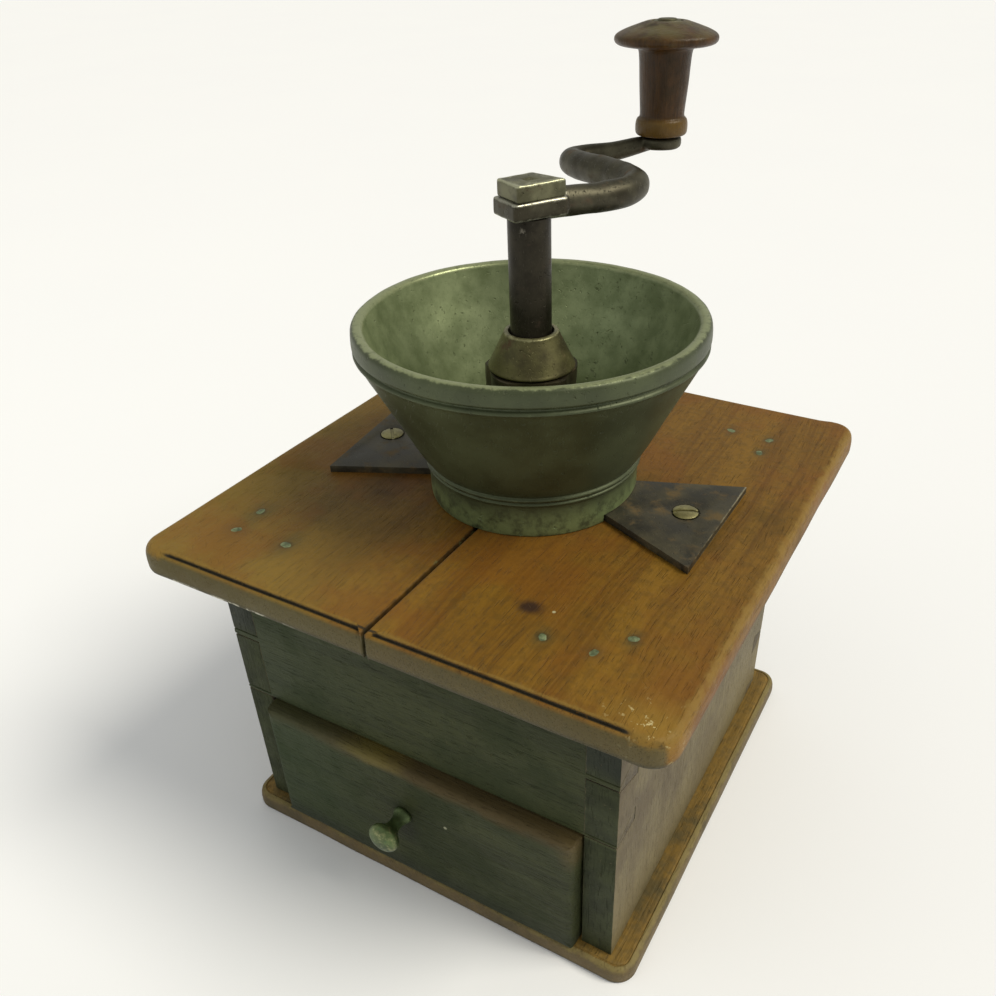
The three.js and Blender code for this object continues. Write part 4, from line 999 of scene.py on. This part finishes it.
def makeBowl():
    rim, ring, wall, tall = mill["rim"], mill["ring"], mill["wall"], mill["height"]
    inside = mill["foot"] - mill["footWall"]
    dip = mill["rings"]
    flare = [(ring + (rim - ring) * out, dip + (tall - dip) * up) for out, up in mill["flare"]]
    outer = [(mill["throat"], mill["flange"], 0), (inside, mill["flange"], 0), (inside, 0.12, 0),
             (inside + 0.3, 0.06, 0.3), (mill["foot"] - 0.3, 0.06, 0.5), (mill["foot"], 0.35, 0.6),
             (mill["foot"] + 0.1, 3, 0.1), (ring - 0.9, dip - 4.2, 0), (ring - 0.5, dip - 3.9, 0.1),
             (ring + 0.1, dip - 3.4, 0.5), (ring + 0.1, dip - 2.9, 0.4), (ring - 0.45, dip - 2.5, 0),
             (ring + 0.45, dip - 1.7, 0.5), (ring + 0.5, dip - 1.1, 0.5), (ring - 0.2, dip - 0.5, 0),
             (ring + 0.2, dip, 0.1)]
    outer += [(r, z, 0.05) for r, z in flare]
    outer += [(rim - 1.0, tall - 7.9, 0.15), (rim - 0.35, tall - 7.5, 0.4), (rim - 0.2, tall - 7.0, 0.45),
              (rim - 0.6, tall - 6.5, 0.4), (rim - 1.25, tall - 6.1, 0), (rim - 1.15, tall - 5.6, 0),
              (rim - 0.2, tall - 5.1, 0.3), (rim - 0.1, tall - 4.4, 0.1), (rim - 0.25, tall - 2.6, 0.1),
              (rim - 0.5, tall - 1.1, 0.05), (rim - 1.1, tall - 0.25, 0.7), (rim - 2.0, tall - 0.02, 1),
              (rim - wall + 0.9, tall - 0.15, 1), (rim - wall + 0.1, tall - 0.9, 0.8),
              (rim - wall - 0.2, tall - 2.2, 0.3)]
    outer += [(r - wall, z + 1.2, 0.05) for r, z in flare[::-1]]
    outer += [(inside + 0.2, mill["floor"] + 1.6, 0), (inside - 1.2, mill["floor"] + 0.2, 0),
              (mill["throat"] + 0.6, mill["floor"], 0.5), (mill["throat"], mill["floor"] - 0.6, 0.6)]
    profile = denser(eased(np.array(outer), 2, closed=True), 1.3, closed=True)
    grid = turnedGrid(profile, (millX, millY, table), 160)
    offset = grid - np.array([millX, millY, table])
    uneven = unevenness(offset, 30, 51) * 0.16 + unevenness(offset, 9, 52) * 0.05
    high = np.clip(profile[:, 1:2] / 12 - 0.6, 0, 1)
    outward = offset[..., :2] / np.linalg.norm(offset[..., :2], axis=-1, keepdims=True)
    grid[..., :2] += outward * (uneven * high)[..., None] - outward * 0.12 * high[..., None]
    grid[..., 2] += uneven * 0.7 * high - 0.08 * high
    furthest = np.argmax(profile[:, 1])
    order = (np.arange(len(profile)) >= furthest) & (profile[:, 1] > mill["floor"] - 1)
    inner = (order & (profile[:, 0] < rim - wall + 0.6))[:, None].astype(float)
    values = {"wear": profile[:, 2:3], "inside": inner}
    piece = gridPiece("hopperBowl", grid, values, wrapRows=True, sharpAngle=50)
    for ear in mill["ears"]:
        outline = [(x + millX, y + millY) for x, y in ear]
        cutAway(piece, prism(outline, table - 1, table + mill["plateTop"]), 50)
    bolts = [sum(boxOf(f"frame_bolt_{end}")) / 2 for end in ("front", "back")]
    cutAway(piece, drillBits([(x, y, mill["boltHole"], table, table + 11) for x, y, _ in bolts]), 50)
    place(piece, "case", "hopper_bowl", "cast_bowl", agedMetal("castBowl", bowlLooks, extra=bowlExtra))


plateLooks = {"dark": (0.038, 0.035, 0.026), "light": (0.085, 0.074, 0.044), "rust": (0.125, 0.078, 0.024),
              "rustFrom": 0.5, "rustTo": 0.72, "rubbed": (0.30, 0.27, 0.18), "edgeLevel": 0.7, "metal": 0.5,
              "rough": 0.5, "depth": 0.2}
coneLooks = {"dark": (0.05, 0.042, 0.018), "light": (0.125, 0.115, 0.045), "rust": (0.085, 0.04, 0.015),
             "rubbed": (0.26, 0.25, 0.13), "edgeLevel": 0.65, "metal": 0.6, "rough": 0.42, "depth": 0.16}
shaftLooks = {"dark": (0.016, 0.013, 0.008), "light": (0.042, 0.036, 0.024), "rust": (0.045, 0.022, 0.010),
              "rubbed": (0.22, 0.2, 0.16), "edgeLevel": 0.8, "metal": 0.7, "rough": 0.4}
screwLooks = {"dark": (0.16, 0.14, 0.06), "light": (0.36, 0.33, 0.15), "rust": (0.12, 0.10, 0.04),
              "edgeLevel": 0.6}
toothLooks = {"dark": (0.022, 0.018, 0.010), "light": (0.06, 0.05, 0.025)}
innerLooks = {"dark": (0.05, 0.045, 0.038), "light": (0.13, 0.12, 0.10), "rust": (0.14, 0.065, 0.028),
              "metal": 0.75, "rough": 0.5}


def makeMill():
    plate = easedCopy("mounting_plate", 0.35)
    plateIron = agedMetal("plateIron", plateLooks, boxEdges("mounting_plate", 1.2))
    place(plate, "case", "mounting_plate", "forged_iron", plateIron)
    screwBrass = agedMetal("screwBrass", {**brassLooks, **screwLooks}, noEdges)
    for side in ("left", "right"):
        placeCopy(f"plate_screw_{side}", 0.18, "case", "brass", screwBrass)
    coneIron = agedMetal("groundCone", {**coneLooks, **toothLooks}, noEdges)
    placeCopy("grinding_cone", 0.3, "crank", "burr_iron", coneIron)
    low, high = boxOf("cone_cap")
    tall = high[2] - low[2]
    profile = np.array(mill["capProfile"])
    profile[:, 1] *= tall / profile[:, 1].max()
    profile = denser(eased(profile, 2, closed=True), 0.9, closed=True)
    grid = turnedGrid(profile, (millX, millY, low[2]), 72)
    offset = grid - np.array([millX, millY, low[2]])
    swell = (unevenness(offset, 14, 61) * 0.006)[..., None] * (grid[..., 2:3] > low[2] + 1)
    grid[..., :2] += offset[..., :2] * swell
    cap = gridPiece("coneCap", grid, {"wear": profile[:, 2:3]}, wrapRows=True)
    place(cap, "crank", "cone_cap", "burr_iron", agedMetal("coneCapIron", coneLooks))
    shaftSteel = agedMetal("shaftSteel", shaftLooks, noEdges)
    placeCopy("spindle", 0.3, "crank", "burr_iron", shaftSteel)
    placeCopy("cone_pin", 0.2, "crank", "burr_iron", shaftSteel)
    innerIron = agedMetal("frameIron", innerLooks, noEdges)
    for node, body in (("burr_shell", "case"), ("bridge", "case"), ("frame_bolt_front", "case"),
                       ("lock_nut", "case"), ("frame_bolt_back", "case"), ("frame_nut_front", "case"),
                       ("frame_nut_back", "case"), ("footstep_cup", "footstep"),
                       ("adjusting_screw", "adjusting_screw")):
        placeCopy(node, 0.25, body, "burr_iron" if node == "burr_shell" else "forged_iron", innerIron)


crank = {"turn": 86.9, "eyeMiddle": 217.0, "eyeTurn": -27, "eyeShift": 0.7, "voxel": 0.4,
         "route": [(4, -2.6, 0), (8, -5.4, 0), (12.6, -8.6, -0.2), (19, -12.2, -0.5), (29, -16, -0.5),
                   (38, -14, -0.3),
                   (45, -4, -0.3), (50, 6.5, -0.7), (55, 15.5, -1.2), (61, 21.6, -1.6), (67.5, 20.6, -1.4),
                   (73.5, 13.5, -0.4), (78.6, 7, 1.2), (80.5, 4.6, 1.7), (83.2, 1.5, 2.2)],
         "radii": [(0, 4.35), (0.3, 4.3), (0.53, 4.7), (0.7, 4.35), (0.86, 3.3), (0.95, 2.7), (1, 2.2)],
         "nutProud": 0.9, "nutCorners": [(-9.4, -2.6), (5.5, -9.3), (7.5, 3.6), (-3.9, 8.3)]}
crankLooks = {"dark": (0.036, 0.031, 0.018), "light": (0.082, 0.075, 0.048), "rust": (0.075, 0.042, 0.018),
              "rustFrom": 0.56, "rustTo": 0.74, "rubbed": (0.36, 0.35, 0.28), "edgeLevel": 0.55, "metal": 0.7,
              "rough": 0.44, "blotch": 110.0, "depth": 0.2}
nutLooks = {"dark": (0.07, 0.066, 0.035), "light": (0.17, 0.165, 0.095), "rubbed": (0.42, 0.42, 0.28)}


# A smooth curve through points: on each span the cubic whose end slopes are half the step between neighbours.
def smoothPath(points, perSpan=14):
    points = np.array(points, float)
    padded = np.vstack([2 * points[0] - points[1], points, 2 * points[-1] - points[-2]])
    t = np.linspace(0, 1, perSpan, endpoint=False)[:, None]
    spans = []
    for a, b, c, d in zip(padded[:-3], padded[1:-2], padded[2:-1], padded[3:]):
        spans.append(0.5 * (2 * b + (c - a) * t + (2 * a - 5 * b + 4 * c - d) * t ** 2
                            + (3 * b - a - 3 * c + d) * t ** 3))
    return np.vstack(spans + [points[-1:]])


# A round bar along a path. Its rings stand square to the path, turned so that one axis stays level.
def barGrid(path, radii, sides=28):
    tangent = np.gradient(path, axis=0)
    tangent /= np.linalg.norm(tangent, axis=1, keepdims=True)
    side = np.cross([0, 0, 1], tangent)
    side /= np.linalg.norm(side, axis=1, keepdims=True)
    upward = np.cross(tangent, side)
    angles = np.linspace(0, 2 * np.pi, sides, endpoint=False)
    return path[:, None] + radii[:, None, None] * (side[:, None] * np.cos(angles)[None, :, None]
                                                  + upward[:, None] * np.sin(angles)[None, :, None])


def turnedIn(points, degrees, origin):  # turned about Z, then moved to the origin given
    c, s = math.cos(math.radians(degrees)), math.sin(math.radians(degrees))
    return points @ np.array([[c, -s, 0], [s, c, 0], [0, 0, 1]]).T + np.array(origin)


def joinedPiece(name, pieces):  # one mesh of several, which go
    points, faces = [], []
    for piece in pieces:
        start = len(points)
        points += [list(v.co / mm) for v in piece.data.vertices]
        faces += [[start + i for i in polygon.vertices] for polygon in piece.data.polygons]
        bpy.data.objects.remove(piece)
    mesh = bpy.data.meshes.new(name)
    mesh.from_pydata((np.array(points) * mm).tolist(), [], faces)
    return addObject(name, mesh)


def makeCrankArm():
    origin = (millX, millY, crank["eyeMiddle"])
    path = smoothPath(crank["route"])
    lengths = np.r_[0, np.cumsum(np.linalg.norm(np.diff(path, axis=0), axis=1))]
    shares = np.array(crank["radii"])
    radii = np.interp(lengths / lengths[-1], shares[:, 0], shares[:, 1])
    radii += unevenness(path, 16, 71) * 0.1
    bar = gridPiece("bar", turnedIn(barGrid(path, radii - 0.03), crank["turn"], origin), {})
    eyeOutline = RoundedRectangle((9.0, 6.7), [1.1, 1.1, 1.1, 1.1], sidePoints=14, cornerPoints=8)
    profile = [(0.7, -2.55, 0), (0.2, -2.4, 0), (0, -1.8, 0), (0, 0, 0), (0, 1.8, 0), (0.2, 2.4, 0),
               (0.7, 2.58, 0)]

    def eyePlace(flat):
        turned = turnedIn(flat + np.array([crank["eyeShift"], 0, 0]), crank["eyeTurn"], (0, 0, 0))
        return turnedIn(turned, crank["turn"], origin)

    weights = [np.ones(len(eyeOutline.angle))]
    eye = boardPiece("eye", eyeOutline, [profile], weights, eyePlace, (0.06, 14, 72), 4)
    armLow, armHigh = boxOf("crank_arm")
    pinX, pinY = sum(boxOf("handle"))[:2] / 2
    endProfile = eased(np.array([(0.1, 0.47), (5.8, 0.47), (6.9, 0.75), (7.15, 1.6), (7.15, 3.2), (6.8, 4.0),
                                 (5.9, 4.33), (0.1, 4.33)]), 2)
    end = gridPiece("end", turnedGrid(endProfile, (pinX, pinY, crank["eyeMiddle"]), 56), {})
    arm = joinedPiece("crankArm", [bar, eye, end])
    remesh = arm.modifiers.new("blend", "REMESH")
    remesh.mode = "VOXEL"
    remesh.voxel_size = crank["voxel"] * mm
    smooth = arm.modifiers.new("smooth", "SMOOTH")
    smooth.factor, smooth.iterations = 0.5, 5
    settle(arm, 60)
    points = pointsOf(arm.data) / mm
    hammered = unevenness(points, 7, 73) * 0.07
    points += pointsOf(arm.data, "normal") * hammered[:, None]
    points = np.clip(points, armLow - 0.05, armHigh + 0.05)
    arm.data.vertices.foreach_set("co", (points * mm).astype(np.float32).ravel())
    centre = np.hypot(points[:, 0] - millX, points[:, 1] - millY)
    rounding = np.abs(points[:, 2] - crank["eyeMiddle"])
    nearEye = np.clip((13 - centre) / 3, 0, 1) * np.clip((rounding - 1.2) / 1.0, 0, 1)
    addValue(arm.data, "wear", nearEye * 0.8)
    arm.data.update()
    place(arm, "crank", "crank_arm", "forged_iron", agedMetal("forgedCrank", crankLooks))


# A closed outline whose corners become arcs: each is cut back by the given length on both sides, and the
# quadratic curve between the two cuts takes the corner's place.
def filleted(corners, cut, steps=7):
    t = np.linspace(0, 1, steps)[:, None]
    before, after = np.roll(corners, 1, axis=0) - corners, np.roll(corners, -1, axis=0) - corners
    rings = []
    for corner, a, b in zip(corners, before, after):
        start, end = (corner + side / np.linalg.norm(side) * cut for side in (a, b))
        rings.append(start * (1 - t) ** 2 + 2 * corner * t * (1 - t) + end * t ** 2)
    return np.concatenate(rings)


def makeCrankNut():
    low, high = boxOf("crank_nut")
    corners = turnedIn(np.c_[np.array(crank["nutCorners"]), np.zeros(4)], crank["turn"], (millX, millY, 0))
    ring = denser(filleted(corners, 0.9), 0.8, closed=True)
    middle = ring.mean(axis=0)
    tall = high[2] - low[2] + crank["nutProud"]
    profile = eased(np.array([(0.02, 0, 0), (0.96, 0.0, 0), (0.995, 0.25, 0.3), (1.0, 0.8, 0.1),
                              (1.0, tall - 0.9, 0.2),
                              (0.99, tall - 0.35, 0.8), (0.955, tall - 0.08, 1), (0.90, tall - 0.02, 0.6),
                              (0.40, tall + 0.02, 0.3), (0.25, tall - 0.05, 0.4), (0.17, tall - 0.35, 0.1),
                              (0.1, tall - 0.55, 0), (0.02, tall - 0.6, 0)]), 2)
    grid = middle + (ring - middle)[None] * profile[:, :1, None]
    grid[..., 2] = low[2] + profile[:, 1:2]
    grid[..., 2] += unevenness(grid, 9, 81) * 0.08 * (profile[:, 1:2] > 1) - 0.1 * (profile[:, 1:2] > 1)
    place(gridPiece("crankNut", grid, {"wear": profile[:, 2:3]}), "crank", "crank_nut", "forged_iron",
          agedMetal("wornNut", {**crankLooks, **nutLooks}))


handleLooks = {"dark": (0.020, 0.009, 0.003), "light": (0.070, 0.032, 0.008), "pore": (0.008, 0.004, 0.002),
               "patina": (0.028, 0.018, 0.007), "patinaScale": 70.0, "rubbed": (0.10, 0.072, 0.022),
               "edgeLevel": 0.7, "scale": 2.2, "rough": 0.32, "depth": 0.1}
pinLooks = {"dark": (0.05, 0.045, 0.025), "light": (0.12, 0.11, 0.06), "edgeLevel": 0.8}
handle = {"profile": [(2.9, 0.02, 0), (8.0, 0.0, 0.2), (8.7, 0.015, 0.5), (8.95, 0.05, 0.6), (8.9, 0.11, 0.6),
                      (8.5, 0.15, 0.5), (7.7, 0.165, 0.1), (7.5, 0.19, 0), (7.7, 0.28, 0), (8.0, 0.38, 0),
                      (8.3, 0.5, 0), (8.5, 0.62, 0), (8.75, 0.72, 0), (9.1, 0.765, 0), (10.4, 0.785, 0.1),
                      (13.5, 0.79, 0.2), (15.8, 0.80, 0.4), (16.9, 0.825, 0.6), (17.1, 0.86, 0.5),
                      (16.5, 0.89, 0.3),
                      (14.4, 0.922, 0.2), (11.2, 0.955, 0.1), (8.0, 0.985, 0.2), (6.2, 1.0, 0.3),
                      (5.2, 0.998, 0.3),
                      (4.95, 0.972, 0), (2.9, 0.97, 0)]}


def makeHandle():
    low, high = boxOf("handle")
    centre, tall = (low + high) / 2, high[2] - low[2]
    profile = np.array(handle["profile"])
    profile[:, 1] *= tall
    profile = denser(eased(profile, 2, closed=True), 0.8, closed=True)
    grid = turnedGrid(profile, (centre[0], centre[1], low[2]), 96)
    offset = grid - np.array([centre[0], centre[1], low[2]])
    grid[..., :2] += offset[..., :2] * (unevenness(offset, 22, 91) * 0.006 - 0.005)[..., None]
    piece = gridPiece("handle", grid, {"wear": profile[:, 2:3]}, wrapRows=True)

    def capDust(tree, vector, colour):
        parts = partsOf(tree, vector)
        upper = ranged(tree, parts[2], (high[2] - 5.5) * mm, (high[2] - 1.5) * mm)
        dusty = times(tree, upper, patches(tree, vector, 190.0, 0.36, 0.62))
        colour = tinted(tree, colour, (0.125, 0.11, 0.038), dusty, 0.6)
        bead = ranged(tree, parts[2], (low[2] + 6.5) * mm, (low[2] + 4.5) * mm)
        return tinted(tree, colour, (0.135, 0.078, 0.016), bead, 0.7)

    place(piece, "handle", "handle", "handle_wood", agedWood("turnedHandle", "z", handleLooks, extra=capDust))
    pinSteel = agedMetal("rivetSteel", pinLooks, noEdges)
    placeCopy("handle_pin", 0.25, "crank", "forged_iron", pinSteel)
    placeCopy("pin_washer", 0.15, "crank", "forged_iron", pinSteel)


def makeFloor():
    size = studio["floor"]
    points = np.array([(-size, -size, 0), (size, -size, 0), (size, size, 0), (-size, size, 0)], float)
    floor = meshPiece("floor", points - [0, 0, studio["floorDepth"]], [[0, 1, 2, 3]], {})
    material, tree, shader, vector = newMaterial("palePaper")
    soft = noiseOf(tree, vector, 4.0, 3)
    tree.links.new(mixed(tree, soft, *studio["floorTones"]), shader.inputs["Base Color"])
    shader.inputs["Roughness"].default_value = 0.8
    shader.inputs["Specular IOR Level"].default_value = 0.1
    floor.data.materials.append(material)


makeStudio()
makeFloor()
makeBaseBoard()
makeTop()
makeNails()
print("top and base ready")
makeCase()
makeDrawer()
print("case and drawer ready")
makeBowl()
makeMill()
print("mill ready")
makeCrankArm()
makeCrankNut()
makeHandle()
print("crank ready")
